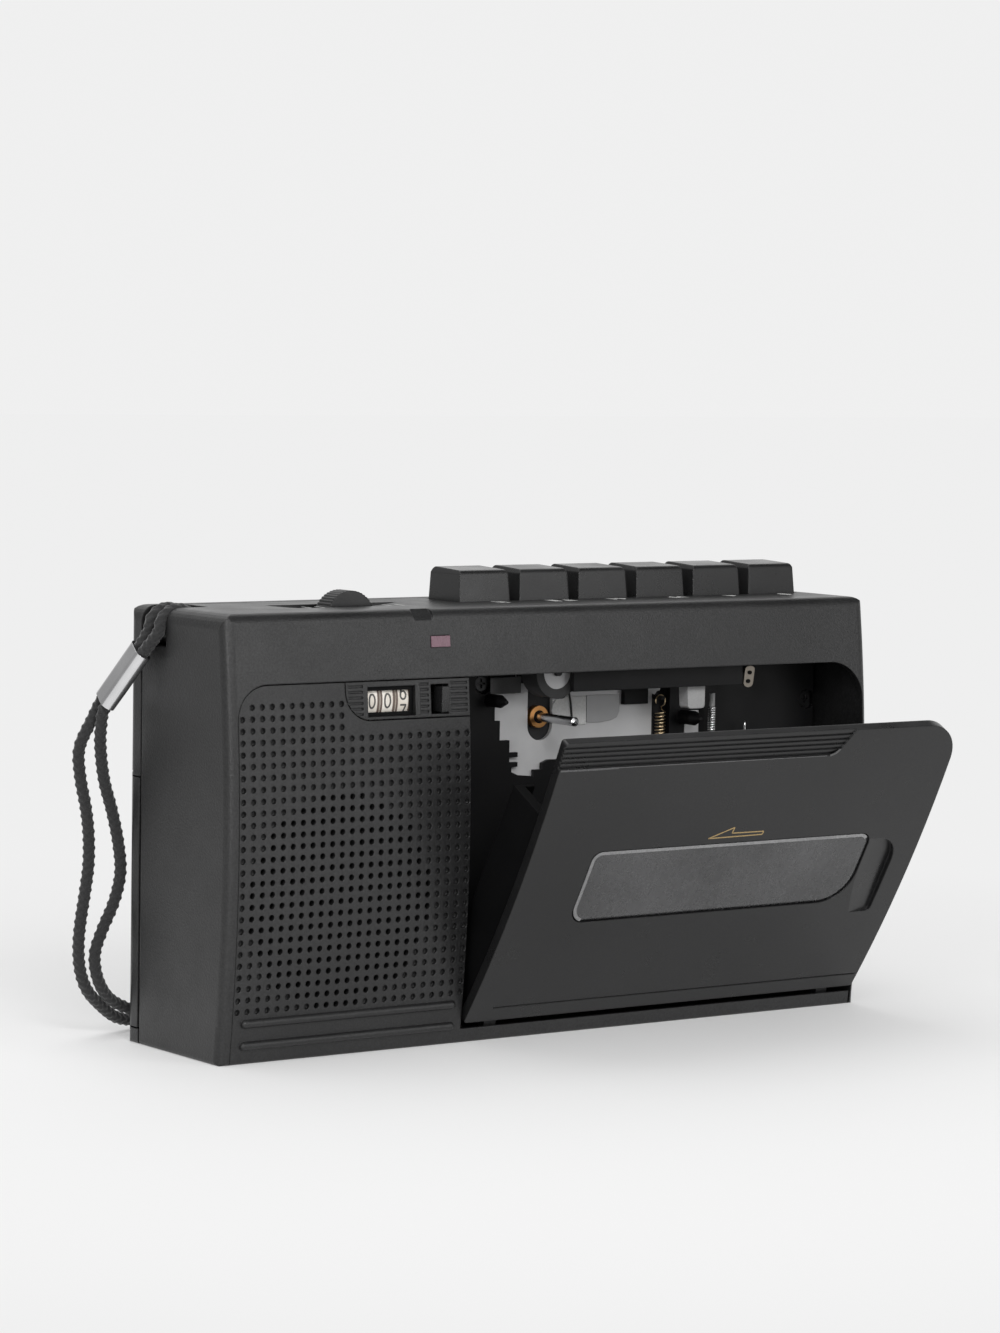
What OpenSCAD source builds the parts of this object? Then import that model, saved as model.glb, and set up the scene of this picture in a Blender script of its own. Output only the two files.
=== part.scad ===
// Portable cassette recorder with its cassette door open
// Origin at the centre of the base, X to the right, Y to the back, Z up, millimetres

/* [Cabinet] */
// Width of the cabinet
body_w = 168; // [164:1:184]
// Height of the cabinet
body_h = 92; // [91:1:100]
// Depth of the cabinet at its top and bottom edges
body_d = 38; // [38:1:46]
// How far the front bows out at mid height
crown = 3; // [2:0.5:4]
// Thickness of the side, top and bottom walls
side_wall = 1.6; // [1.2:0.1:2]
// Thickness of the front wall
front_wall = 1.8; // [1.4:0.1:2]
// Thickness of the back wall
back_wall = 2; // [1.6:0.1:2.4]
// Depth of the rear cabinet half
rear_depth = 5.4; // [5:0.2:7]
// Radius of the cabinet's front edges
edge_r = 2.5; // [1:0.5:3]
// Radius of the cabinet's back edges
back_r = 3; // [1:0.5:4]
// Radius of the cabinet's upper corners seen from the front
corner_r = 3.2; // [1:0.2:3.2]
// Radius of the cabinet's lower corners seen from the front
base_r = 0.8; // [0.4:0.2:1.2]
// Height of the plain band above the front opening
band_h = 14.3; // [13:0.1:15]

/* [Cassette door] */
// Angle that the door stands open
door_open = 29; // [0:1:29]
// Width of the door
door_w = 106.2; // [104:0.2:107]
// Thickness of the door
door_t = 2.2; // [2:0.1:2.6]
// Radius of the door's upper right corner
door_r = 8.5; // [4:0.5:10]
// Width of the door window
window_w = 75.5; // [60:0.5:78]
// Height of the door window
window_h = 18.6; // [12:0.2:22]
// Number of grip grooves along the door's top
grip_grooves = 5; // [3:1:5]

/* [Cassette] */
// Length of a cassette
cas_w = 100.4; // [100.4:0.1:101]
// Height of a cassette
cas_h = 63.8; // [63.8:0.1:64.4]
// Thickness of a cassette's thin part
cas_t = 8.7; // [8.7:0.1:9]
// Distance between the two hubs
hub_pitch = 42.5; // [42:0.1:43]

/* [Speaker grille] */
// Spacing of the grille holes
hole_pitch = 2.39; // [2.3:0.01:2.4]
// Diameter of the grille holes
hole_d = 1.25; // [0.9:0.05:1.25]
// Number of hole columns
hole_cols = 24; // [20:1:24]
// Number of hole rows
hole_rows = 27; // [22:1:27]
// Diameter of the speaker
speaker_d = 49.2; // [44:0.2:50]

/* [Controls] */
// Width of a piano key
key_w = 13.6; // [12:0.1:14.6]
// Spacing of the piano keys
key_pitch = 15.8; // [15.6:0.1:16]
// Depth of a piano key from front to back
key_d = 12.5; // [11:0.1:12.8]
// Height of a piano key above the cabinet
key_h = 6.6; // [5:0.1:8]
// Travel of a piano key
key_travel = 4; // [3:0.1:4]
// Diameter of the volume wheel
wheel_d = 12.2; // [11:0.1:13.4]
// Width of the volume wheel
wheel_w = 5; // [3:0.1:5.6]
// Diameter of a counter drum
drum_d = 13; // [11:0.1:13.4]
// Travel of the counter reset button
reset_travel = 1.2; // [0.8:0.1:1.4]

/* [Mechanism] */
// Diameter of the capstan shaft
capstan_d = 2; // [1.8:0.1:2.4]
// Diameter of the flywheel
flywheel_d = 25; // [22:0.5:25]
// Diameter of the pinch roller
pinch_d = 11.2; // [10:0.1:11.4]
// Diameter of the motor
motor_d = 24; // [22:0.5:25]
// Diameter of a reel table
reel_d = 19; // [16:0.5:19.4]

/* [Power] */
// Diameter of a battery cell
cell_d = 14.5; // [14:0.1:14.5]
// Length of a battery cell
cell_l = 50.5; // [49:0.1:50.5]
// Number of battery cells
cell_count = 4; // [2:1:4]

/* [Strap] */
// Diameter of the strap cord
strap_d = 2.6; // [2:0.1:2.6]
// Length of the strap ferrule
ferrule_l = 14; // [12:0.5:15]

/* [Fits] */
// Running clearance round a shaft
run_gap = 0.05; // [0.03:0.01:0.1]
// Clearance round sliding pieces
slide_gap = 0.3; // [0.2:0.05:0.4]
// Visible seam between panels
seam = 0.25; // [0.2:0.05:0.4]

/* [Hidden] */
$fn = 64;
// Facets of the large crown circle
crown_fn = 720;
// Straight steps in the arc of a slanted corner
arc_steps = 6;
// Overlap of a cut past the face that it opens
cut = 1;

// Cabinet planes
left_x = -body_w / 2;
right_x = body_w / 2;
left_in = left_x + side_wall;
right_in = right_x - side_wall;
floor_in = side_wall;
top_in = body_h - side_wall;
mid_z = body_h / 2;
front_y = -body_d / 2;
back_y = body_d / 2;
back_in = back_y - back_wall;
split_y = back_y - rear_depth;
crown_r = (mid_z * mid_z + crown * crown) / (2 * crown);
crown_cy = front_y - crown + crown_r;
ahead_y = front_y - crown - cut;
opening_top = body_h - band_h;
opening_l = left_in + 0.8;

// Front panel
panel_recess = 0.3;
panel_t = 1.6;
panel_l = opening_l + seam;
panel_top = opening_top - seam;
door_right = right_in - slide_gap;
door_left = door_right - door_w;
panel_r = door_left - 2 * seam;
strip_h = 3;
strip_t = 1.2;
strip_r = right_in - 2 * seam;
panel_corner_r = 7;
rib_z = [3.9, 8.5];
rib_r = 0.9;
rib_inset = 2;
grid_x = panel_l + 0.95;
grid_z = panel_top - 4.3;
hole_depth = 0.9;
hole_fn = 16;
speaker_col = 10;
speaker_row = 17;
ring_t = 1.4;
open_r = speaker_d / 2 - ring_t - 0.3;
speaker_x = grid_x + speaker_col * hole_pitch;
speaker_z = grid_z - speaker_row * hole_pitch;
speaker_y = front_y + 1.8;

// Counter
bezel_w = 30.75;
bezel_h = 7.85;
bezel_corner_r = 6;
bezel_l = panel_r - bezel_w;
bezel_bottom = panel_top - bezel_h;
drum_w = 3.55;
drum_gap = 0.3;
drums_w = 3 * drum_w + 2 * drum_gap;
drums_l = bezel_l + 5.6;
drum_z = bezel_bottom + bezel_h / 2 - 0.3;
counter_win_h = 6.2;
counter_win_w = drums_w + 0.6;
drum_y = crown_y(drum_z) + 1.9 + drum_d / 2;
counter_shaft_r = 0.6;
frame_t = 0.8;
reset_w = 1.9;
reset_h = 5.4;
reset_x = panel_r - 6.5;
reset_slot_w = 4.5;
reset_slot_l = reset_x + reset_w / 2 + slide_gap - reset_slot_w;

// Door hinge and holder
hinge_y = front_y + 2.6;
hinge_z = 5.4;
pin_r = 0.8;
door_bottom = hinge_z + 0.5;
door_top = opening_top - slide_gap;
lug_w = 4;
lug_r = 1.6;
post_w = 3;
post_half = 1.2;
post_top = hinge_z + 1.4;
post_clear_r = 2.2;
lug_l_x = door_left + 2.5;
lug_r_x = door_right - 1 - lug_w;
post_l_x = lug_l_x + lug_w + slide_gap;
post_r_x = lug_r_x - slide_gap - post_w;
rail_r_w = 1.1;
rail_l_w = 2.5;
cas_x = door_right - rail_r_w - 0.35 - cas_w / 2;
cas_bottom = hinge_z + 2.9;
cas_top = cas_bottom + cas_h;
cas_y = front_y + 6.4;
reel_z = cas_bottom + 28.9;
takeup_x = cas_x - hub_pitch / 2;
supply_x = cas_x + hub_pitch / 2;
window_r_x = door_right - 14.65;
window_z0 = door_bottom + 26.1;

// Deck planes
chassis_t = 1.2;
chassis_y = front_y + 15.8;
chassis_back = chassis_y + chassis_t;
plate_t = 1;
plate_y = chassis_y - 0.2 - plate_t;
deck_t = 1;
deck_y = plate_y - 0.2 - deck_t;
capstan_x = cas_x - 25.5;
capstan_z = cas_top - 5.3;
capstan_tip = front_y + 0.7;
bushing_r = 2.4;
pinch_z = capstan_z + 10.5;
pinch_x = capstan_x - 3;
pinch_w = 5.6;
pinch_y = cas_y - pinch_w / 2;
pinch_pin_r = 0.75;
play_travel = key_travel;
shelf_z = cas_top + 8.1;
spring_x = capstan_x + 32.6;
spring_top = cas_top - 2.6;
chassis_l = door_left + 2.6;
chassis_r = right_in - 0.6;

// Drive train behind the deck
flywheel_r = flywheel_d / 2;
hub_r = 3;
wheel_y0 = chassis_back + 0.6;
wheel_y1 = wheel_y0 + 1.8;
disc_y0 = wheel_y1 + 0.5;
disc_y1 = disc_y0 + 2.3;
bracket_y = disc_y1 + 0.6;
bracket_t = 1;
idler_r = 8.3;
train_gap = 0.3;
reel_dist = norm([takeup_x - capstan_x, reel_z - capstan_z]);
idler_dist = hub_r + train_gap + idler_r;
idler_x = capstan_x + (takeup_x - capstan_x) * idler_dist / reel_dist;
idler_z = capstan_z + (reel_z - capstan_z) * idler_dist / reel_dist;
takeup_r = reel_dist - idler_dist - idler_r - train_gap;
motor_x = supply_x + 10;
motor_z = 20;
pulley_r = 4;
motor_shaft_r = 0.75;

// Keys
key_count = 6;
key_y0 = -2;
key_y1 = key_y0 + key_d;
key_row_r = right_x - 5.9;
cap_bottom = top_in - 2.9;
stem_w = 9;
stem_y0 = 6;
stem_y1 = 8;
guide_t = 1;
guide_top = cap_bottom - 5.5;
stem_bottom = shelf_z - 0.7;
play_key = 4;
// Reach of the head plate past the play key
bar_reach = 6.5;

// Volume wheel
wheel_x = key_x(0) - key_w / 2 - 29.5;
wheel_y = -2;
pot_shaft_r = 1;
wheel_z = top_in - pot_shaft_r - slide_gap;

// Battery bay
bay_wall = 1.2;
bay_l = left_in + 1.4;
bay_r = bay_l + cell_l + 5.5;
bay_z0 = floor_in + 1.4;
cell_pitch = cell_d + 0.1;
bay_z1 = bay_z0 + cell_count * cell_pitch + 0.4;
bay_y = back_in - cell_d - 0.3;
lid_z0 = 3.5;
lid_z1 = min(56, bay_z1 - 5);
tongue = 0.9;
contact_t = 0.4;

// Circuit board and sockets
board_t = 1.6;
board_y = back_in - 1 - board_t;
jack_y = board_y - 4;
jack_z = [38, 48, 58, 68];
jack_r = [1.75, 1.75, 1.25, 2.8];
jack_l = 13.4;
collar_r = 3.1;

// Screws
screw_r = 1.2;
screw_head_r = 1.6;
boss_r = 3.4;
case_screws = [[left_x + 18, body_h - 4.9], [right_x - 4.6, body_h - 14.6],
    [right_x - 4.6, 4.9], [bay_r + bay_wall + boss_r + 1.8, 4.6]];
deck_screws = [[door_left + 13.6, cas_top + 2.4], [door_left + 6, 9], [right_in - 3.4, 9],
    [right_in - 3.4, 68]];

// Strap anchor and ferrule
notch_y0 = 3.5;
notch_z = body_h - 8;
notch_w = 10;
bar_x = left_x + 3.7;
bar_z = body_h - 4.8;
bar_r = 3;
ferrule_top = [-86.4, 9.6, 83];
ferrule_turn = [32.8, 19.8, 0];
ferrule_w = 6.4;
ferrule_t = 3.6;
strap_r = strap_d / 2;
// Bend of the two strands over the bar
strap_bend = bar_r + strap_r + 0.1;
strap_in = bar_x + strap_bend;
strap_ys = [5.3, 9.3];
// Strand over the bar, from inside the cabinet to the outside
function over_bar(y) = concat([[strap_in, y, notch_z - 3.5], [strap_in, y, notch_z]],
    [for (a = [0 : 30 : 180]) [bar_x + strap_bend * cos(a), y, bar_z + strap_bend * sin(a)]]);
function reversed(p) = [for (i = [len(p) - 1 : -1 : 0]) p[i]];
// Wrist loop between the two strands, from the rear strand's to the front strand's end
strap_loop = [
    [-85.3, 9.75, 85.75], [-85.87, 10.17, 84.46], [-87.58, 13.42, 79.72], [-89.01, 16.13, 75.77],
    [-90.43, 18.84, 71.82], [-91.7, 20.3, 68], [-94, 21.5, 62], [-93.4, 22.2, 56], [-91.5, 23, 49],
    [-90.5, 23.5, 43], [-90.5, 23.5, 37], [-91.2, 23.7, 31], [-92, 24, 25], [-92.2, 24.4, 20],
    [-91.5, 25, 15], [-89.5, 25.8, 10.5], [-86, 27, 7], [-81, 28.7, 3.5], [-76, 30.1, 2.1],
    [-71, 31.2, 1.5], [-66, 31.9, 1.4], [-61.5, 31.8, 1.4], [-57.8, 30.3, 1.4], [-56.3, 26.6, 1.4],
    [-57.8, 22.9, 1.4], [-61.5, 21.4, 1.5], [-66, 21.9, 2.1], [-71, 23.3, 3.1], [-76, 25, 4.4],
    [-81, 26, 6.2], [-85, 25, 8.8], [-88, 23.7, 13], [-89, 23.1, 18], [-87.5, 22.8, 23],
    [-84.9, 22.4, 29], [-83.6, 22.1, 35], [-84.2, 21.9, 41], [-86, 21.5, 48], [-88.5, 20.7, 55],
    [-90.3, 19.2, 62], [-91, 17.8, 66.8], [-90.92, 16.62, 70.48], [-89.49, 13.91, 74.43],
    [-88.07, 11.2, 78.38], [-86.36, 7.95, 83.12], [-85.4, 6.4, 85.3]];
strap_route = concat(over_bar(strap_ys[1]), strap_loop, reversed(over_bar(strap_ys[0])));
strap_sides = 8;

// Coil springs
coil_rings = 8;
coil_sides = 6;
play_wire = 0.15;
play_coil_r = 1.1;
play_pitch = 0.74;
play_turns = 16;
play_ring_r = 1.3;
play_bottom = spring_top - 15.2;
ear_z = play_bottom - 1.7;
key_wire = 0.15;
key_coil_r = 2;
key_coil_turns = 3;
key_coil_pitch = (cap_bottom - guide_top - 2 * key_wire - 2 * run_gap) / key_coil_turns;
cell_wire = 0.3;
cell_coil_r = 3;
cell_coil_pitch = 1.3;
cell_coil_turns = 3;

// Depth of the crowned front at a height
function crown_y(z, inset = 0) = crown_cy - sqrt(pow(crown_r - inset, 2) - pow(z - mid_z, 2));
// Centre of the round front edge, in Y and Z
function edge_centre(r) = [crown_y(body_h - r, r), body_h - r];
function unit(v) = v / norm(v);
function key_x(i) = key_row_r - key_w / 2 - (key_count - 1 - i) * key_pitch;
function drum_x(i) = drums_l + i * (drum_w + drum_gap);
function cell_z(i) = bay_z0 + 0.2 + (i + 0.5) * cell_pitch;

// Direction of a route at each of its points
function headings(p) = [for (i = [0 : len(p) - 1]) unit(p[min(i + 1, len(p) - 1)] - p[max(i - 1, 0)])];
// A vector square to a direction and close to another one
function squared(v, t) = unit(v - (v * t) * t);
// Sideways vectors carried along a route without twist
function sideways(t, first) = [for (i = 0, s = squared(first, t[0]); i < len(t);
    i = i + 1, s = squared(s, t[min(i, len(t) - 1)])) s];
// Points of the rings of a tube round a route
function tube_rings(p, r, sides, first) = let (t = headings(p), s = sideways(t, first))
    [for (i = [0 : len(p) - 1]) for (j = [0 : sides - 1]) let (a = 360 * j / sides)
        p[i] + r * (cos(a) * s[i] + sin(a) * cross(t[i], s[i]))];
// Triangles of a tube with two flat ends
function tube_faces(n, sides) = concat(
    [for (j = [1 : sides - 2]) [0, j, j + 1]],
    [for (i = [0 : n - 2]) for (j = [0 : sides - 1]) let (k = (j + 1) % sides)
        [i * sides + j, (i + 1) * sides + j, (i + 1) * sides + k]],
    [for (i = [0 : n - 2]) for (j = [0 : sides - 1]) let (k = (j + 1) % sides)
        [i * sides + j, (i + 1) * sides + k, i * sides + k]],
    [for (j = [1 : sides - 2]) [(n - 1) * sides, (n - 1) * sides + j + 1, (n - 1) * sides + j]]);
// Least distance between stretches of a route that lie some steps apart
function least_gap(p, r, steps) = min([for (i = [0 : len(p) - 1 - steps]) for (j = [i + steps : len(p) - 1])
    norm(p[i] - p[j])]) - 2 * r;
// Helix that climbs along Z, with straight ends one wire diameter long
function helix(r, wire, pitch, turns) = let (n = turns * coil_rings, a1 = 360 * turns) concat(
    [[r, -2 * wire, 0]],
    [for (i = [0 : n]) let (a = 360 * i / coil_rings) [r * cos(a), r * sin(a), pitch * i / coil_rings]],
    [[r * cos(a1) - 2 * wire * sin(a1), r * sin(a1) + 2 * wire * cos(a1), pitch * turns]]);
// Tension spring with an open hook ring above its turns
function hooked_helix(r, wire, pitch, turns, ring) = let (top = pitch * turns,
    ring_z = top + ring + 1.1) concat(
    [[0, 0, -1.4], [0.1, 0, -0.7]],
    [for (i = [0 : turns * coil_rings]) let (a = 360 * i / coil_rings) [r * cos(a), r * sin(a),
        pitch * i / coil_rings]],
    [[0.7 * r, 0.4 * r, top + 0.4]],
    [for (a = [-80 : 15 : 205]) [ring * cos(a), 0, ring_z + ring * sin(a)]]);

module tube(p, r, sides, first) {
    polyhedron(tube_rings(p, r, sides, first), tube_faces(len(p), sides), convexity = 10);
}

module box(low, high) {
    translate(low) cube(high - low);
}

// Extrude an outline drawn in Y and Z from one X to another
module along_x(x0, x1) {
    translate([x0, 0, 0]) rotate([90, 0, 90]) linear_extrude(height = x1 - x0) children();
}

// Extrude an outline drawn in X and Z from one Y to another
module along_y(y0, y1) {
    translate([0, y1, 0]) rotate([90, 0, 0]) linear_extrude(height = y1 - y0) children();
}

module along_z(z0, z1) {
    translate([0, 0, z0]) linear_extrude(height = z1 - z0) children();
}

module rod_x(y, z, x0, x1, r) {
    translate([x0, y, z]) rotate([0, 90, 0]) cylinder(r = r, h = x1 - x0);
}

module rod_y(x, z, y0, y1, r) {
    translate([x, y1, z]) rotate([90, 0, 0]) cylinder(r = r, h = y1 - y0);
}

// Rod whose front end narrows to a blunt tip
module tipped_rod_y(x, z, y0, y1, r, tip_r, tip_l) {
    rod_y(x, z, y0 + tip_l, y1, r);
    translate([x, y0 + tip_l, z]) rotate([90, 0, 0]) cylinder(r1 = r, r2 = tip_r, h = tip_l);
}

// The sliver between a corner and the arc that rounds it
module corner_sliver(before, v, after, r) {
    u1 = unit(before - v);
    u2 = unit(after - v);
    half = acos(u1 * u2) / 2;
    centre = v + unit(u1 + u2) * r / sin(half);
    difference() {
        polygon([v, v + u1 * r / tan(half), centre, v + u2 * r / tan(half)]);
        translate(centre) circle(r);
    }
}

// Polygon, counter-clockwise, with a radius for each corner
module rounded_polygon(pts, radii) {
    n = len(pts);
    turns = [for (i = [0 : n - 1]) let (a = pts[i] - pts[(i + n - 1) % n], b = pts[(i + 1) % n] - pts[i])
        a[0] * b[1] - a[1] * b[0]];
    difference() {
        union() {
            polygon(pts);
            for (i = [0 : n - 1]) {
                if (radii[i] > 0 && turns[i] < 0) {
                    corner_sliver(pts[(i + n - 1) % n], pts[i], pts[(i + 1) % n], radii[i]);
                }
            }
        }
        for (i = [0 : n - 1]) {
            if (radii[i] > 0 && turns[i] > 0) {
                corner_sliver(pts[(i + n - 1) % n], pts[i], pts[(i + 1) % n], radii[i]);
            }
        }
    }
}

// Points of the arc that rounds a slanted corner
function arc_points(before, v, after, r) = let (u1 = unit(before - v), u2 = unit(after - v),
    half = acos(u1 * u2) / 2,
    centre = v + unit(u1 + u2) * r / sin(half), start = v + u1 * r / tan(half) - centre,
    end = v + u2 * r / tan(half) - centre, a = atan2(start[1], start[0]),
    turn = (atan2(end[1], end[0]) - a + 540) % 360 - 180)
    [for (i = [0 : arc_steps]) centre + r * [cos(a + turn * i / arc_steps), sin(a + turn * i / arc_steps)]];

// Polygon with slanted edges and a radius for each corner, drawn with short straight steps
module stepped_polygon(pts, radii) {
    n = len(pts);
    polygon([for (i = [0 : n - 1]) each (radii[i] == 0 ? [pts[i]]
        : arc_points(pts[(i + n - 1) % n], pts[i], pts[(i + 1) % n], radii[i]))]);
}

// Bar turned about Z whose ends taper to points over a length
module turned_bar(length, r, taper) {
    ends = [for (i = [0 : arc_steps]) let (a = 90 * i / arc_steps) [r * sin(a), taper * (1 - cos(a))]];
    rotate_extrude() polygon(concat(ends, [for (i = [arc_steps : -1 : 0]) [ends[i][0],
        length - ends[i][1]]]));
}

// Side view of everything behind the crowned front, set in by a depth
module crown_section(inset, y1, z0, z1) {
    intersection() {
        translate([front_y - crown - 9, z0]) square([y1 - front_y + crown + 9, z1 - z0]);
        translate([crown_cy, mid_z]) circle(crown_r - inset, $fn = crown_fn);
    }
}

// Layer of the crowned front between two depths, over a range of X
module crown_layer(inset0, inset1, x0, x1) {
    along_x(x0, x1) difference() {
        crown_section(inset0, 0, -9, body_h + 9);
        crown_section(inset1, cut, -9 - cut, body_h + 9 + cut);
    }
}

// Sliver that rounds the front edge where the crown meets the top
module crown_edge(r) {
    centre = edge_centre(r);
    cy = centre[0];
    out = unit(centre - [crown_cy, mid_z]);
    difference() {
        polygon([centre, [cy, body_h + cut], [cy - 2 * r, body_h + cut], centre + out * 2 * r]);
        translate(centre) circle(r);
    }
}

module side_view() {
    difference() {
        crown_section(0, back_y, 0, body_h);
        crown_edge(edge_r);
        translate([0, body_h]) mirror([0, 1]) crown_edge(edge_r / 2);
        corner_sliver([front_y, body_h], [back_y, body_h], [back_y, 0], back_r);
        corner_sliver([front_y, 0], [back_y, 0], [back_y, body_h], back_r / 2);
    }
}

// Whole outside of the closed cabinet
module cabinet_outside() {
    sweep = 20;
    deep = 70;
    intersection() {
        along_x(left_x - cut, right_x + cut) side_view();
        translate([0, crown_cy, mid_z]) rotate([0, 90, 0])
            rotate_extrude(angle = sweep, start = -90 - sweep / 2, $fn = crown_fn)
                rounded_polygon([[crown_r - deep, left_x], [crown_r, left_x], [crown_r, right_x],
                    [crown_r - deep, right_x]], [0, edge_r, edge_r, 0]);
        along_z(-cut, body_h + cut)
            rounded_polygon([[left_x, front_y - deep], [right_x, front_y - deep], [right_x, back_y],
                [left_x, back_y]], [0, 0, back_r, back_r]);
        along_y(front_y - deep, back_y + cut)
            stepped_polygon([[left_x, 0], [right_x, 0], [right_x, body_h], [left_x, body_h]],
                [base_r, base_r, corner_r, corner_r]);
    }
}

module front_opening() {
    rounded_polygon([[opening_l, -9], [right_in, -9], [right_in, opening_top], [opening_l, opening_top]],
        [0, 0, door_r + slide_gap, panel_corner_r + seam]);
}

module key_slot() {
    box([key_x(0) - key_w / 2 - slide_gap, key_y0 - slide_gap, top_in - cut],
        [key_x(key_count - 1) + key_w / 2 + slide_gap, key_y1 + slide_gap, body_h + cut]);
}

module wheel_slot() {
    scoop_l = 33;
    scoop_h = 0.9;
    scoop_r = (pow(scoop_l / 2, 2) + pow(scoop_h, 2)) / (2 * scoop_h);
    half = wheel_d / 2 + slide_gap;
    box([wheel_x - half, wheel_y - wheel_w / 2 - slide_gap, top_in - cut],
        [wheel_x + half, wheel_y + wheel_w / 2 + slide_gap, body_h + cut]);
    translate([wheel_x, wheel_y + wheel_w, body_h + scoop_r - scoop_h]) rotate([90, 0, 0])
        cylinder(r = scoop_r, h = 2 * wheel_w, $fn = crown_fn);
}

module led_hole(gap) {
    lens_w = 4.75;
    lens_h = 2.3;
    lens_x = left_x + 50;
    lens_z = body_h - 7.9;
    translate([lens_x - gap, lens_z - gap]) square([lens_w + 2 * gap, lens_h + 2 * gap]);
}

module strap_notch() {
    strap_gap = 0.2;
    box([left_x - cut, notch_y0, notch_z], [left_x + notch_w, split_y + cut, body_h + cut]);
    box([strap_in - strap_r - strap_gap, strap_ys[0] - strap_r - strap_gap, notch_z - 3],
        [strap_in + strap_r + strap_gap, strap_ys[1] + strap_r + strap_gap, notch_z + cut]);
}

// Shadow groove round the joint of the two halves
module seam_groove() {
    depth = 0.6;
    width = 0.6;
    difference() {
        box([left_x - cut, split_y - width, -cut], [right_x + cut, split_y + cut, body_h + cut]);
        box([left_x + depth, split_y - 2 * width, depth], [right_x - depth, split_y + 2 * cut,
            body_h - depth]);
    }
}

module deck_lugs() {
    lug_y1 = chassis_back + 5;
    key_clear = key_x(0) - key_w / 2 - 2;
    left_l = chassis_l + 0.5;
    box([left_l, chassis_back, deck_screws[0][1] - 2.5], [key_clear, lug_y1, top_in + cut / 2]);
    box([left_l, chassis_back, deck_screws[0][1] - 2.5], [deck_screws[0][0] + 2.3, chassis_back + 2.9,
        deck_screws[0][1] + 2.5]);
    box([left_l, chassis_back, floor_in - cut / 2], [deck_screws[1][0] + 2.5, lug_y1,
        deck_screws[1][1] + 3]);
    box([deck_screws[2][0] - 2.5, chassis_back, floor_in - cut / 2],
        [right_in + cut / 2, lug_y1, deck_screws[2][1] + 3]);
    box([deck_screws[3][0] - 2.5, chassis_back, deck_screws[3][1] - 4],
        [right_in + cut / 2, lug_y1, deck_screws[3][1] + 4]);
}

module hinge_posts() {
    for (x = [post_l_x, post_r_x]) {
        box([x, hinge_y - post_half, floor_in - cut / 2], [x + post_w, hinge_y + post_half, post_top]);
    }
}

module front_cabinet() {
    wall = 1.4;
    dish_x = left_x + 48.4;
    dish_r = 2.6;
    dish_depth = 0.6;
    dish_turn = 45;
    color("#38383a") difference() {
        union() {
            difference() {
                intersection() {
                    cabinet_outside();
                    box([left_x - cut, front_y - crown - cut, -cut],
                        [right_x + cut, split_y, body_h + cut]);
                }
                along_x(left_in, right_in) crown_section(front_wall, split_y + cut, floor_in, top_in);
            }
            intersection() {
                cabinet_outside();
                box([left_x, notch_y0 - wall, notch_z - wall], [left_x + notch_w + wall, split_y, body_h]);
            }
            for (s = case_screws) {
                rod_y(s[0], s[1], 11.4, split_y, boss_r);
            }
            deck_lugs();
            hinge_posts();
        }
        intersection() {
            crown_layer(-cut, front_wall + 0.2, left_x, right_x);
            along_y(ahead_y, 0) front_opening();
        }
        key_slot();
        wheel_slot();
        along_y(ahead_y, front_y + 9) led_hole(run_gap);
        strap_notch();
        translate(concat([dish_x], edge_centre(edge_r))) rotate([dish_turn, 0, 0])
            translate([0, 0, edge_r - dish_depth]) cylinder(r = dish_r, h = 2 * dish_r);
        seam_groove();
        for (s = case_screws) {
            rod_y(s[0], s[1], 11.4 - cut, split_y + cut, screw_r + run_gap);
        }
        for (s = deck_screws) {
            rod_y(s[0], s[1], chassis_back - cut, chassis_back + 4.4, screw_r + run_gap);
        }
        for (x = [post_l_x, post_r_x]) {
            rod_x(hinge_y, hinge_z, x - cut, x + post_w + cut, pin_r);
        }
        for (i = [0 : len(jack_z) - 1]) {
            rod_x(jack_y, jack_z[i], right_in - cut, right_x + cut, collar_r + run_gap);
        }
        rod_y(bar_x, bar_z, notch_y0 - 1, notch_y0 + cut, bar_r);
    }
}

// Space that the battery lid slides out of
module lid_space(gap) {
    box([left_x - cut, back_in - cut, lid_z0 - gap], [bay_r + gap, back_y + cut, lid_z1 + gap]);
    box([left_x - cut, split_y - cut, lid_z0 - gap], [left_in + gap, back_y + cut, lid_z1 + gap]);
    box([left_x - cut, back_in - slide_gap, lid_z0 - tongue - gap],
        [bay_r + gap, back_in + tongue + slide_gap, lid_z1 + tongue + gap]);
}

module rear_cabinet() {
    wall = 1.4;
    board_posts = [[chassis_l + 9, 20], [chassis_l + 9, 66], [supply_x, 66]];
    color("#333335") difference() {
        union() {
            difference() {
                intersection() {
                    cabinet_outside();
                    box([left_x - cut, split_y, -cut], [right_x + cut, back_y + cut, body_h + cut]);
                }
                box([left_in, split_y - cut, floor_in], [right_in, back_in, top_in]);
            }
            box([bay_l - bay_wall, bay_y - bay_wall, bay_z0 - bay_wall],
                [bay_r + bay_wall, back_in + cut / 2, bay_z1 + bay_wall]);
            box([left_in - cut / 2, split_y, notch_z - wall], [left_x + notch_w + wall, split_y + wall,
                top_in + cut / 2]);
            for (s = case_screws) {
                rod_y(s[0], s[1], split_y, back_in + cut / 2, boss_r);
            }
            for (p = board_posts) {
                rod_y(p[0], p[1], board_y + board_t, back_in + cut / 2, 2);
            }
        }
        box([bay_l, bay_y, bay_z0], [bay_r, back_in + cut / 4, bay_z1]);
        lid_space(slide_gap);
        for (s = case_screws) {
            rod_y(s[0], s[1], split_y - cut, back_y + cut, screw_r + run_gap);
            rod_y(s[0], s[1], back_y - 1.2, back_y + cut, 2.6);
        }
        rod_y(bar_x, bar_z, split_y - cut, split_y + 1, bar_r);
    }
}

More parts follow.
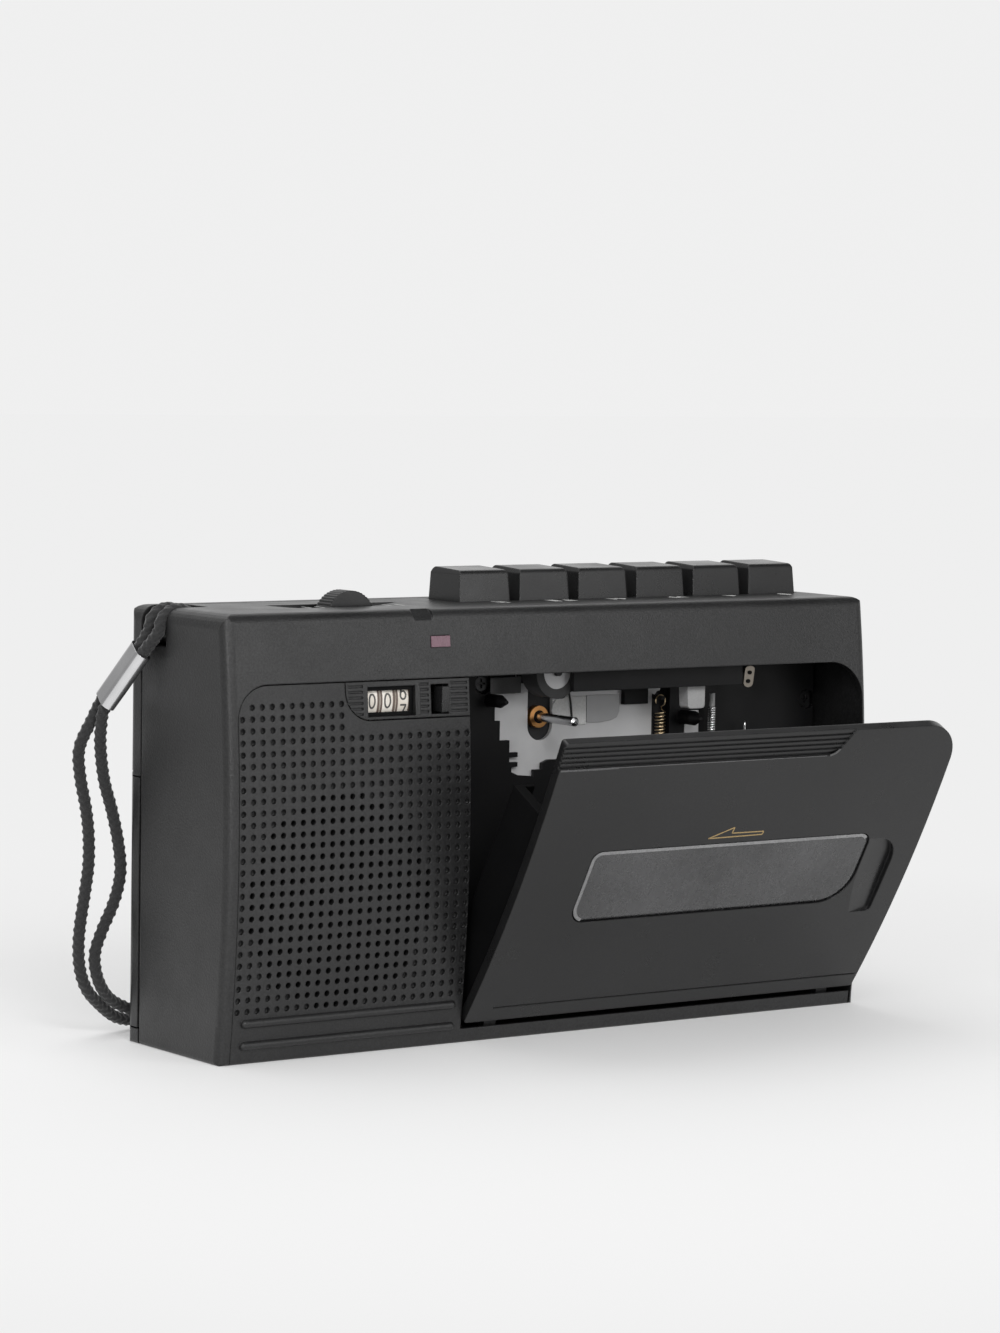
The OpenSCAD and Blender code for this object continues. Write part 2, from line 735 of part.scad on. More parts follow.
module panel_outline() {
    notch_x = bezel_l - seam;
    notch_bottom = bezel_bottom - seam;
    rounded_polygon([[panel_l, 0], [strip_r, 0], [strip_r, strip_h], [panel_r, strip_h],
        [panel_r, notch_bottom],
        [notch_x, notch_bottom], [notch_x, panel_top], [panel_l, panel_top]],
        [0, 0, 0, 0, 0, bezel_corner_r + seam, 0, panel_corner_r]);
}

// First column and row end of the hole grid beside the counter
function hole_used(c, r) = r > 2 || (c < 11 && (r > 0 || c > 0));
function hole_open(c, r) = norm([c - speaker_col, r - speaker_row]) * hole_pitch + hole_d / 2 < open_r;

// Holes of one row, either those in front of the speaker or the blind ones
module grille_row(r, open_holes) {
    for (c = [0 : hole_cols - 1]) {
        if (hole_used(c, r) && hole_open(c, r) == open_holes) {
            translate([grid_x + c * hole_pitch, grid_z - r * hole_pitch]) circle(hole_d / 2, $fn = hole_fn);
        }
    }
}

module grille_holes() {
    along_y(ahead_y, 0) {
        for (r = [0 : hole_rows - 1]) {
            grille_row(r, true);
        }
    }
    for (r = [0 : hole_rows - 1]) {
        along_y(ahead_y, crown_y(grid_z - r * hole_pitch) + panel_recess + hole_depth) grille_row(r, false);
    }
}

// Heights of the panel's strips: one strip for each row of holes
function strip_heights(low) = concat([0],
    [for (i = [hole_rows + 4 : -1 : -1]) let (z = grid_z + (0.5 - i) * hole_pitch)
    if (z > low && z < panel_top - 0.5) z], [panel_top]);
// Side view of the panel between two depths
module panel_section(inset0, inset1, low) {
    heights = strip_heights(low);
    n = len(heights);
    stepped_polygon(concat([for (i = [0 : n - 1]) [crown_y(heights[n - 1 - i], inset0),
        heights[n - 1 - i]]],
        [for (i = [0 : n - 1]) [crown_y(heights[i], inset1), heights[i]]]),
        concat([for (i = [1 : n - 1]) 0], [edge_r / 3], [for (i = [1 : n]) 0]));
}

module grille_panel() {
    rib_sink = panel_recess - 0.1;
    ring_r = speaker_d / 2;
    color("#3a3a3c") difference() {
        union() {
            intersection() {
                along_x(left_x, right_x) panel_section(panel_recess, panel_recess + panel_t, edge_r);
                along_y(ahead_y, 0) panel_outline();
            }
            for (z = rib_z) {
                translate([panel_l + rib_inset, crown_y(z) + rib_sink, z]) rotate([0, 90, 0])
                    turned_bar(panel_r - panel_l - 2 * rib_inset, rib_r, rib_r);
            }
            difference() {
                rod_y(speaker_x, speaker_z, front_y - crown / 2, speaker_y, ring_r);
                rod_y(speaker_x, speaker_z, ahead_y, speaker_y + cut, ring_r - ring_t);
                along_x(left_x, right_x) panel_section(-crown, panel_recess + panel_t / 2, 0);
            }
        }
        intersection() {
            along_x(panel_r + cut, right_x) panel_section(panel_recess + strip_t, panel_t + crown, edge_r);
            box([panel_r, ahead_y, -cut], [right_x, 0, strip_h + cut]);
        }
        grille_holes();
    }
}

module counter_bezel() {
    groove_h = 0.5;
    groove_step = 1.15;
    groove_count = 6;
    groove_depth = 0.4;
    frame_gap = 1.1;
    win_l = drums_l - 0.3;
    win_z = drum_z - counter_win_h / 2;
    spans = [[bezel_l + 0.5, win_l - frame_gap], [win_l + counter_win_w + frame_gap, reset_slot_l - 0.5],
        [reset_slot_l + reset_slot_w + 0.5, panel_r - 0.5]];
    color("#343436") difference() {
        intersection() {
            crown_layer(panel_recess, panel_recess + panel_t + 0.4, left_x, right_x);
            along_y(ahead_y, 0)
                rounded_polygon([[bezel_l, bezel_bottom], [panel_r, bezel_bottom], [panel_r, panel_top],
                    [bezel_l, panel_top]], [bezel_corner_r, 0, 0, 0]);
        }
        box([win_l, front_y - crown - cut, win_z], [win_l + counter_win_w, 0, win_z + counter_win_h]);
        box([reset_slot_l, front_y - crown - cut, bezel_bottom + 0.6],
            [reset_slot_l + reset_slot_w, 0, bezel_bottom + 0.6 + counter_win_h]);
        intersection() {
            crown_layer(-cut, panel_recess + groove_depth, left_x, right_x);
            along_y(ahead_y, 0) {
                for (s = spans) {
                    for (i = [0 : groove_count - 1]) {
                        translate([s[0], bezel_bottom + 0.9 + i * groove_step]) square([s[1] - s[0],
                            groove_h]);
                    }
                }
            }
        }
    }
}

module led_lens() {
    proud = 0.15;
    flange = 1;
    flange_y = crown_y(body_h - 4, front_wall) + 0.1;
    color("#8c5a66") {
        difference() {
            along_y(front_y - crown, flange_y) led_hole(0);
            along_x(left_x, right_x) difference() {
                translate([front_y - crown - 9, 0]) square([30, body_h]);
                crown_section(-proud, 30, -cut, body_h + cut);
            }
        }
        along_y(flange_y, flange_y + 2) led_hole(flange);
    }
}

module microphone() {
    mic_x = left_x + 42;
    mic_z = body_h - 6.4;
    color("#8a8a8c") rod_y(mic_x, mic_z, crown_y(body_h - 3, front_wall) + 0.2, front_y + 6, 3);
}

module speaker_frame() {
    r = speaker_d / 2;
    rim = 2.2;
    depth = 8;
    back_r0 = 13;
    magnet_r = 12;
    bay_gap = 3.2;
    magnet_l = bay_y - bay_wall - bay_gap - speaker_y - depth;
    sheet = 0.8;
    color("#77787a") translate([speaker_x, speaker_y, speaker_z]) rotate([-90, 0, 0]) rotate_extrude()
        polygon([[r - rim, 0], [r, 0], [r, sheet], [r - rim + sheet, sheet], [back_r0 + sheet, depth],
            [magnet_r, depth], [magnet_r, depth + magnet_l], [0, depth + magnet_l], [0, depth - sheet],
            [back_r0, depth - sheet], [r - rim, sheet]]);
}

module speaker_cone() {
    r = speaker_d / 2 - 2.6;
    rise = 0.4;
    throat = 7;
    throat_z = 6.2;
    dome_z = 3.8;
    paper = 0.5;
    color("#1d1d1e") translate([speaker_x, speaker_y, speaker_z]) rotate([-90, 0, 0]) rotate_extrude()
        polygon([[0, dome_z], [throat * 0.6, dome_z + 0.8], [throat, throat_z - paper], [r, rise],
            [r, rise + paper],
            [throat, throat_z], [throat * 0.6, throat_z + 0.2], [0, throat_z + 0.2]]);
}

module chassis_plate() {
    key_gap = 1.5;
    tab_x = key_x(play_key) - 4;
    tab_w = 5;
    hook_w = 1;
    hook_h = 0.8;
    color("#b9bbbd") {
        difference() {
            union() {
                box([chassis_l, chassis_y, floor_in + 2.9], [chassis_r, chassis_back, shelf_z - 0.5]);
                rod_y(idler_x, idler_z, chassis_back - 0.1, wheel_y1 + 0.3, 1);
                box([spring_x - hook_w / 2, deck_y - 0.6, spring_top - 0.1],
                    [spring_x + hook_w / 2, chassis_y + 0.1, spring_top - 0.1 + hook_h]);
            }
            box([tab_x - key_gap, chassis_y - cut, shelf_z - 2 - play_travel - key_gap],
                [tab_x + tab_w + key_gap, chassis_back + cut, shelf_z]);
            rod_y(capstan_x, capstan_z, chassis_y - cut, chassis_back + cut, bushing_r);
            for (x = [takeup_x, supply_x]) {
                rod_y(x, reel_z, chassis_y - cut, chassis_back + cut, 1.5 + run_gap);
            }
            for (s = deck_screws) {
                rod_y(s[0], s[1], chassis_y - cut, chassis_back + cut, screw_r + run_gap);
            }
        }
    }
}

// Stepped black cover of the lower deck, with its locating pins
module deck_cover() {
    pin_y = cas_y + 0.4;
    l = chassis_l;
    c = capstan_x;
    z = capstan_z;
    edge = 0.6;
    right = spring_x - 2.3;
    slot_r = spring_x + 2.3;
    slot_z = ear_z - play_travel - 1;
    step_x = key_x(play_key) + bar_reach + edge;
    top = shelf_z - edge;
    low = shelf_z - 1 - play_travel - edge;
    outline = [[l, 11], [chassis_r - 1, 11], [chassis_r - 1, top], [step_x, top], [step_x, low],
        [slot_r, low], [slot_r, slot_z], [right, slot_z], [right, z - 7.4], [c + 9, z - 7.4],
        [c + 9, z - 9.4], [c + 2, z - 9.4], [c + 0.4, z - 10], [c + 0.4, z - 11.4], [c - 1.8, z - 11.4],
        [c - 1.8, z - 12.8], [c - 6, z - 12.4], [c - 7.8, z - 11.6], [c - 7.8, z - 10.5],
        [c - 6.2, z - 10.5], [c - 6.2, z - 9.5], [c - 8.4, z - 9.5], [c - 8.4, z - 8.4],
        [c - 6.2, z - 8.4], [c - 6.2, z - 7.4], [c - 8.4, z - 7.4], [c - 8.4, z - 4.7], [c - 11, z - 4.7],
        [c - 11, z - 0.4], [c - 12.4, z - 0.4], [c - 12.4, z + 5.6], [c - 7.2, z + 5.4], [c - 7.2, top],
        [l, top]];
    bosses = [[l + 4, 22], [l + 4, z - 8], [chassis_r - 7, 22], [chassis_r - 7, z - 8]];
    color("#161617") difference() {
        union() {
            along_y(deck_y, deck_y + deck_t) polygon(outline);
            for (b = bosses) {
                rod_y(b[0], b[1], deck_y + 0.1, chassis_y, 2);
            }
            tipped_rod_y(c + 38.6, z - 1.4, pin_y, deck_y + 0.1, 1.6, 0.4, 2.4);
            tipped_rod_y(c - 13.9, z + 4.2, pin_y, deck_y + 0.1, 1.4, 0.4, 2.4);
        }
        for (x = [takeup_x, supply_x]) {
            rod_y(x, reel_z, deck_y - cut, deck_y + deck_t + cut, reel_d / 2 + 0.5);
        }
        for (s = deck_screws) {
            rod_y(s[0], s[1], deck_y - cut, deck_y + deck_t + cut, screw_head_r + 0.6);
        }
    }
}

module head_guard() {
    guard_t = 1.2;
    guard_y = crown_y(top_in, front_wall) + 0.15;
    color("#19191a") box([capstan_x, guard_y, cas_top + 1.1], [capstan_x + 46, guard_y + guard_t, top_in]);
}

module capstan_bushing() {
    color("#c98a4a") difference() {
        rod_y(capstan_x, capstan_z, plate_y - 0.3, chassis_back, bushing_r);
        rod_y(capstan_x, capstan_z, plate_y - 0.3 - cut, chassis_back + cut, capstan_d / 2 + run_gap);
    }
}

module drive_bracket() {
    w = 8;
    y1 = bracket_y + bracket_t;
    post_r = 1.8;
    elbow_x = capstan_x + 23;
    elbow_z = capstan_z - 19;
    posts = [[capstan_x - 17, capstan_z], [elbow_x, elbow_z], [elbow_x + 20, 9],
        [motor_x + 13.5, motor_z + 11]];
    color("#a7a9ab") difference() {
        union() {
            box([capstan_x - 20, bracket_y, capstan_z - w / 2], [capstan_x + w / 2, y1, capstan_z + w / 2]);
            box([capstan_x - w / 2, bracket_y, elbow_z - w / 2],
                [capstan_x + w / 2, y1, capstan_z + w / 2]);
            box([capstan_x - w / 2, bracket_y, elbow_z - w / 2], [elbow_x + w / 2, y1, elbow_z + w / 2]);
            box([elbow_x - w / 2, bracket_y, 6], [elbow_x + w / 2, y1, elbow_z + w / 2]);
            box([elbow_x - w / 2, bracket_y, 6], [motor_x + 16, y1, motor_z + 14]);
            for (p = posts) {
                rod_y(p[0], p[1], chassis_back, bracket_y + 0.1, post_r);
            }
        }
        rod_y(capstan_x, capstan_z, bracket_y - cut, y1 + cut, capstan_d / 2 + run_gap);
        rod_y(motor_x, motor_z, bracket_y - cut, y1 + cut, 2.5);
    }
}

module motor() {
    y0 = bracket_y + bracket_t;
    color("#9a9c9e") difference() {
        rod_y(motor_x, motor_z, y0, back_in - 0.4, motor_d / 2);
        rod_y(motor_x, motor_z, y0 - cut, y0 + 3, motor_shaft_r + run_gap);
    }
}

// Points round two pulleys, from the first one's wrap to the second one's
function belt_points(p1, r1, p2, r2) = let (along = p2 - p1, a = atan2(along[1], along[0]),
    lean = acos((r1 - r2) / norm(along)), steps = 8 * arc_steps)
    concat([for (i = [0 : steps]) let (t = a + lean + (360 - 2 * lean) * i / steps) p1 + r1 * [cos(t),
        sin(t)]],
        [for (i = [0 : steps]) let (t = a - lean + 2 * lean * i / steps) p2 + r2 * [cos(t), sin(t)]]);

module drive_belt() {
    belt_t = 1;
    belt_w = 1.2;
    p1 = [capstan_x, capstan_z];
    p2 = [motor_x, motor_z];
    y0 = (disc_y0 + disc_y1 - belt_w) / 2;
    color("#202022") along_y(y0, y0 + belt_w) difference() {
        polygon(belt_points(p1, flywheel_r + train_gap + belt_t, p2, pulley_r + train_gap + belt_t));
        polygon(belt_points(p1, flywheel_r + train_gap, p2, pulley_r + train_gap));
    }
}

module circuit_board() {
    l = chassis_l + 4.5;
    r = right_in - 1.2;
    step_x = motor_x - motor_d / 2 - 4;
    step_z = motor_z + motor_d / 2 + 4;
    color("#2f5d3a") along_y(board_y, board_y + board_t)
        polygon([[l, 9], [step_x, 9], [step_x, step_z], [r, step_z], [r, 73], [l, 73]]);
}

module board_components() {
    cans = [[-8, 30, 3], [4, 24, 2.5], [-6, 60, 2.5], [14, 62, 3], [36, 52, 2.5], [38, 24, 3]];
    bracket_gap = 2.6;
    can_h = board_y - bracket_y - bracket_t - bracket_gap;
    chips = [[20, 22], [34, 62]];
    chip_w = 7;
    chip_l = 10;
    chip_h = 3;
    color("#26303f") {
        for (c = cans) {
            rod_y(capstan_x + c[0], c[1], board_y - can_h, board_y, c[2]);
        }
        for (c = chips) {
            box([capstan_x + c[0], board_y - chip_h, c[1]], [capstan_x + c[0] + chip_l, board_y,
                c[1] + chip_w]);
        }
    }
}

module jack_sockets() {
    proud = 0.4;
    half = 4;
    color("#1b1b1c") for (i = [0 : len(jack_z) - 1]) {
        difference() {
            union() {
                box([right_in - jack_l, jack_y - half, jack_z[i] - half],
                    [right_in, jack_y + half, jack_z[i] + half]);
                rod_x(jack_y, jack_z[i], right_in - cut, right_x + proud, collar_r);
            }
            rod_x(jack_y, jack_z[i], right_in - jack_l + 1, right_x + cut, jack_r[i]);
        }
    }
}

module battery_contacts() {
    plate = 9;
    y = bay_y + cell_d / 2;
    spring = helix(cell_coil_r, cell_wire, cell_coil_pitch, cell_coil_turns);
    echo(str("battery spring least gap ", least_gap(spring, cell_wire, 5)));
    color("#c4c6c8") for (i = [0 : cell_count - 1]) {
        side = i % 2;
        box([bay_l, y - plate / 2, cell_z(i) - plate / 2], [bay_l + contact_t, y + plate / 2,
            cell_z(i) + plate / 2]);
        box([bay_r - contact_t, y - plate / 2, cell_z(i) - plate / 2],
            [bay_r, y + plate / 2, cell_z(i) + plate / 2]);
        translate([side == 0 ? bay_l + contact_t : bay_r - contact_t, y, cell_z(i)])
            rotate([0, side == 0 ? 90 : -90, 0]) translate([0, 0, cell_wire + run_gap])
                tube(spring, cell_wire, coil_sides, [1, 0, 0]);
    }
}

module volume_pot() {
    half = 7;
    y0 = wheel_y + wheel_w / 2 + 0.7;
    color("#6b6c6e") {
        box([wheel_x - half, y0, wheel_z - 8], [wheel_x + half, y0 + 4, top_in]);
        rod_y(wheel_x, wheel_z, wheel_y - wheel_w / 2 + 0.6, y0 + 0.1, pot_shaft_r);
    }
}

module counter_frame() {
    l = drums_l - 0.5;
    r = drums_l + drums_w + 0.5;
    y0 = crown_y(panel_top, panel_recess + panel_t + 0.4) + 0.3;
    y1 = drum_y + drum_d / 2 + 1.6;
    z0 = drum_z - 5.4;
    z1 = drum_z + 5.2;
    arm_r = reset_x + 2.2;
    arm_y = drum_y + 2;
    color("#222223") difference() {
        union() {
            box([l - frame_t, y0, z0], [l, y1, z1]);
            box([r, y0, z0], [r + frame_t, y1, z1]);
            box([l - frame_t, y1 - frame_t, z0], [r + frame_t, y1, z1]);
            box([r, arm_y, z0], [arm_r, arm_y + frame_t, z1]);
            rod_x(drum_y, drum_z, l - 0.1, r + 0.1, counter_shaft_r);
        }
        box([reset_x - 0.65 - slide_gap, arm_y - cut, drum_z - 1 - slide_gap],
            [reset_x + 0.65 + slide_gap, arm_y + frame_t + cut, drum_z + 1 + slide_gap]);
    }
}

// Counter drum, running on the shaft of its frame
module counter_drum(i) {
    color("#e9e6de") difference() {
        rod_x(drum_y, drum_z, drum_x(i), drum_x(i) + drum_w, drum_d / 2);
        rod_x(drum_y, drum_z, drum_x(i) - cut, drum_x(i) + drum_w + cut, counter_shaft_r + run_gap);
    }
}

module counter_hundreds() {
    counter_drum(0);
}

module counter_tens() {
    counter_drum(1);
}

module counter_units() {
    counter_drum(2);
}

module reset_button() {
    proud = 0.5;
    front = crown_y(drum_z) - proud;
    color("#29292b") {
        box([reset_x - reset_w / 2, front, drum_z - reset_h / 2],
            [reset_x + reset_w / 2, front + 3.4, drum_z + reset_h / 2]);
        box([reset_x - 0.65, front + 3.3, drum_z - 1], [reset_x + 0.65, drum_y + 4, drum_z + 1]);
    }
}

module key_guide() {
    l = key_x(0) - key_w / 2 - 1.5;
    r = key_x(key_count - 1) + key_w / 2 + 2;
    y0 = key_y0 + 1;
    y1 = key_y1 + 1;
    color("#202021") difference() {
        union() {
            box([l, y0, guide_top - guide_t], [r, y1, guide_top]);
            box([l, y0, guide_top - 0.1], [l + 0.8, y1, top_in]);
            box([r - 0.8, y0, guide_top - 0.1], [r, y1, top_in]);
        }
        for (i = [0 : key_count - 1]) {
            box([key_x(i) - stem_w / 2 - slide_gap, stem_y0 - slide_gap, guide_top - guide_t - cut],
                [key_x(i) + stem_w / 2 + slide_gap, stem_y1 + slide_gap, guide_top + cut]);
        }
    }
}

// Piano key: a drafted cap with bevelled sides and a flat stem below
module key(i) {
    draft = 0.5;
    bevel = 0.8;
    crest = body_h + key_h;
    rise = 0.5;
    round_r = 1.2;
    x = key_x(i);
    half = key_w / 2;
    side = half - draft;
    color("#2b2b2d") {
        intersection() {
            along_y(key_y0 - cut, key_y1 + cut)
                polygon([[x - half, cap_bottom], [x + half, cap_bottom], [x + side, crest - bevel],
                    [x + side - bevel, crest + bevel], [x - side + bevel, crest + bevel],
                        [x - side, crest - bevel]]);
            along_x(x - half - cut, x + half + cut)
                stepped_polygon([[key_y0, cap_bottom - cut], [key_y1, cap_bottom - cut],
                    [key_y1 - draft, crest + rise],
                    [key_y0 + 2 * draft, crest]], [0, 0, round_r, round_r]);
        }
        box([x - stem_w / 2, stem_y0, stem_bottom], [x + stem_w / 2, stem_y1, cap_bottom + 0.1]);
    }
}

module key_springs() {
    spring = helix(key_coil_r, key_wire, key_coil_pitch, key_coil_turns);
    echo(str("key spring least gap ", least_gap(spring, key_wire, 5)));
    color("#c4c6c8") for (i = [0 : key_count - 1]) {
        translate([key_x(i), key_y0 + 3.6, guide_top + key_wire + run_gap]) tube(spring, key_wire,
            coil_sides, [1, 0, 0]);
    }
}

module hinge_pins() {
    color("#c9cbcd") {
        rod_x(hinge_y, hinge_z, lug_l_x, post_l_x + post_w, pin_r);
        rod_x(hinge_y, hinge_z, post_r_x, lug_r_x + lug_w, pin_r);
    }
}

module strap_bar() {
    color("#38383a") rod_y(bar_x, bar_z, notch_y0 - 1, split_y + 1, bar_r);
}

module oval(w, t) {
    translate([-t / 2, -(w - t) / 2]) square([t, w - t]);
    translate([0, (w - t) / 2]) circle(t / 2);
    translate([0, -(w - t) / 2]) circle(t / 2);
}

module strap_ferrule() {
    wall = 0.45;
    color("#d8dadc") translate(ferrule_top) rotate(ferrule_turn) translate([0, 0, -ferrule_l])
        linear_extrude(height = ferrule_l) difference() {
            oval(ferrule_w, ferrule_t);
            oval(ferrule_w - 2 * wall, ferrule_t - 2 * wall);
        }
}

module wrist_strap() {
    color("#171718") tube(strap_route, strap_r, strap_sides, [0, 1, 0]);
}

module cabinet_screws() {
    color("#8c8e90") for (s = case_screws) {
        rod_y(s[0], s[1], 12, back_y - 1.1, screw_r);
        difference() {
            rod_y(s[0], s[1], back_y - 1.2, back_y - 0.2, 2.3);
            box([s[0] - 1.5, back_y - 0.6, s[1] - 0.3], [s[0] + 1.5, back_y, s[1] + 0.3]);
            box([s[0] - 0.3, back_y - 0.6, s[1] - 1.5], [s[0] + 0.3, back_y, s[1] + 1.5]);
        }
    }
}

module chassis_screws() {
    head_t = 1.5;
    cross_l = 1;
    cross_w = 0.22;
    color("#242425") for (s = deck_screws) {
        rod_y(s[0], s[1], chassis_y - 0.1, chassis_back + 4, screw_r);
        difference() {
            rod_y(s[0], s[1], chassis_y - head_t, chassis_y, screw_head_r);
            for (turn = [0, 90]) {
                translate([s[0], 0, s[1]]) rotate([0, turn, 0])
                    box([-cross_l, chassis_y - head_t - cut, -cross_w],
                        [cross_l, chassis_y - head_t + 0.6, cross_w]);
            }
        }
    }
}

module play_spring() {
    route = hooked_helix(play_coil_r, play_wire, play_pitch, play_turns, play_ring_r);
    echo(str("play spring least gap ", least_gap(route, play_wire, 5)));
    color("#b9a67c") translate([spring_x, plate_y - 0.8, play_bottom + 0.6])
        tube(route, play_wire, coil_sides, [1, 0, 0]);
}

// Turn a piece of the door from closed to open
module on_door() {
    translate([0, hinge_y, hinge_z]) rotate([door_open, 0, 0]) translate([0, -hinge_y,
        -hinge_z]) children();
}

module window_outline(grow) {
    x0 = window_r_x - window_w - grow;
    x1 = window_r_x + grow;
    z1 = window_z0 + window_h;
    rounded_polygon([[x0, window_z0 - grow], [x1, window_z0 - grow], [x1, z1 + grow], [x0, z1 + grow]],
        [4 + grow, 8 + grow, 3 + grow, 2 + grow]);
}

module door_outline() {
    rounded_polygon([[door_left, door_bottom], [door_right, door_bottom], [door_right, door_top],
        [door_left, door_top]], [0.8, 0.8, door_r, 0.8]);
}

// Recessed strip along the door's top, with a slanted right end
module grip_outline() {
    grip_h = 6;
    end_top = door_right - 28.8;
    end_bottom = end_top - 4.6;
    stepped_polygon([[door_left - cut, door_top - grip_h], [end_bottom, door_top - grip_h],
        [end_top, door_top + cut], [door_left - cut, door_top + cut]], [0, 2.5, 0, 0]);
}

module grip_lines() {
    groove_h = 0.5;
    groove_step = 1.12;
    intersection() {
        grip_outline();
        for (i = [0 : grip_grooves - 1]) {
            translate([door_left - cut, door_top - 0.9 - groove_h - i * groove_step]) square([door_w,
                groove_h]);
        }
    }
}

module cassette_door() {
    grip_depth = 0.35;
    groove_depth = 0.8;
    seat = 1;
    scoop_r = 6;
    scoop_x = door_right - 5.9;
    scoop_z0 = window_z0 - 3.4;
    scoop_z1 = window_z0 + window_h - 1.7;
    scoop_slope = 8;
    scoop_base = crown_y(window_z0 + window_h / 2);
    lip_z = door_bottom + 3.6;
    lip_h = 0.4;
    lip_depth = 0.3;
    color("#343436") on_door() difference() {
        union() {
            difference() {
                intersection() {
                    crown_layer(0, door_t, left_x, right_x);
                    along_y(ahead_y, 0) door_outline();
                }
                for (x = [post_l_x, post_r_x]) {
                    rod_x(hinge_y, hinge_z, x - slide_gap, x + post_w + slide_gap, post_clear_r);
                }
            }
            intersection() {
                along_x(left_x, right_x) crown_section(door_t / 2, 0, 0, body_h);
                for (x = [lug_l_x, lug_r_x]) {
                    box([x, hinge_y - 2.6, hinge_z], [x + lug_w, hinge_y + lug_r, hinge_z + 4]);
                    rod_x(hinge_y, hinge_z, x, x + lug_w, lug_r);
                }
            }
        }
        for (x = [lug_l_x, lug_r_x]) {
            rod_x(hinge_y, hinge_z, x - cut, x + lug_w + cut, pin_r + run_gap);
        }
        intersection() {
            crown_layer(-cut, grip_depth, left_x, right_x);
            along_y(ahead_y, 0) grip_outline();
        }
        intersection() {
            crown_layer(-cut, groove_depth, left_x, right_x);
            along_y(ahead_y, 0) grip_lines();
        }
        intersection() {
            crown_layer(-cut, lip_depth, left_x, right_x);
            box([door_left + 6, ahead_y, lip_z], [door_right - 0.8, 0, lip_z + lip_h]);
        }
        along_y(ahead_y, 0) window_outline(0);
        intersection() {
            crown_layer(seat, door_t + cut, left_x, right_x);
            along_y(ahead_y, 0) window_outline(1.2);
        }
        intersection() {
            along_y(ahead_y, 0)
                stepped_polygon([[window_r_x, scoop_z0], [scoop_x, scoop_z0], [scoop_x, scoop_z1],
                    [window_r_x, scoop_z1]],
                    [0, 1, scoop_r, 0]);
            translate([window_r_x, scoop_base, 0]) rotate([0, 0, scoop_slope]) box([-cut, -9, 0],
                [20, 0, body_h]);
        }
    }
}

module door_window() {
    seat = 1;
    color("#4a4a4c", 0.5) on_door() {
        intersection() {
            crown_layer(0.45, seat + 0.2, left_x, right_x);
            along_y(ahead_y, 0) window_outline(-0.1);
        }
        intersection() {
            crown_layer(seat + run_gap, seat + 0.9, left_x, right_x);
            along_y(ahead_y, 0) window_outline(1);
        }
    }
}

module cassette_holder() {
    l = door_left + 1.6;
    r = door_right - 0.25;
    back = cas_y + cas_t / 2 + 0.9;
    lip = 2.5;
    lip_t = 0.8;
    rail_top = cas_bottom + 50;
    shelf_t = 1.2;
    shelf_top = cas_bottom - 0.1;
    lug_back = hinge_y + lug_r + slide_gap;
    front = front_y - crown;
    color("#1c1c1d") on_door() difference() {
        intersection() {
            along_x(left_x, right_x) crown_section(door_t + run_gap, 0, 0, body_h);
            union() {
                box([l, front, shelf_top - shelf_t], [l + rail_l_w, back, rail_top]);
                box([l, back - lip_t, shelf_top - shelf_t], [l + rail_l_w + lip, back, rail_top]);
                box([r - rail_r_w, front, shelf_top - shelf_t], [r, back, rail_top]);
                box([r - rail_r_w - lip, back - lip_t, shelf_top - shelf_t], [r, back, rail_top]);
                box([l, front, shelf_top - shelf_t], [r, back, shelf_top]);
            }
        }
        for (x = [lug_l_x, lug_r_x]) {
            box([x - slide_gap, front, hinge_z - lug_r], [x + lug_w + slide_gap, lug_back,
                hinge_z + 4 + slide_gap]);
        }
        for (x = [post_l_x, post_r_x]) {
            rod_x(hinge_y, hinge_z, x - slide_gap, x + post_w + slide_gap, post_clear_r);
        }
    }
}

module battery_door() {
    color("#333335") difference() {
        intersection() {
            cabinet_outside();
            union() {
                box([left_x, back_in, lid_z0], [bay_r, back_y, lid_z1]);
                box([left_x, split_y + slide_gap, lid_z0], [left_in - slide_gap, back_y, lid_z1]);
                box([left_x, back_in, lid_z0 - tongue], [bay_r, back_in + tongue, lid_z1 + tongue]);
            }
        }
        for (i = [0 : 4]) {
            box([left_x + 7, back_y - 0.4, 22 + 3 * i], [left_x + 17, back_y + cut, 23 + 3 * i]);
        }
    }
}

// Sliding plate that carries the heads and the pinch roller
module head_plate() {
    y1 = plate_y + plate_t;
    l = capstan_x - 12.1;
    r = spring_x - 1.8;
    slot_r = 3.3;
    slot_x = capstan_x + 0.4;
    slot_drop = 1.9;
    bar_r_x = key_x(play_key) + bar_reach;
    tab_x = key_x(play_key) - 4;
    tab_w = 5;
    color("#c3c5c7") difference() {
        union() {
            box([l, plate_y, capstan_z - 17], [r, y1, shelf_z]);
            box([l, plate_y, shelf_z - 4], [bar_r_x, y1, shelf_z]);
            box([capstan_x + 6, front_y + 3.4, shelf_z - 1], [bar_r_x, y1, shelf_z]);
            box([tab_x, plate_y, shelf_z - 2], [tab_x + tab_w, stem_y1 + 0.2, shelf_z - 1]);
            box([r - 0.1, plate_y - 1.6, ear_z], [spring_x + 1, y1, ear_z + 0.8]);
        }
        box([slot_x - slot_r, plate_y - cut, capstan_z - slot_drop],
            [slot_x + slot_r, y1 + cut, capstan_z + 9]);
        rod_y(slot_x, capstan_z - slot_drop, plate_y - cut, y1 + cut, slot_r);
    }
}

module head_block() {
    color("#19191a") box([cas_x - 3.2, plate_y - 1.4, cas_top - 3.4],
        [cas_x + 3.2, plate_y, cas_top + 1.6]);
}

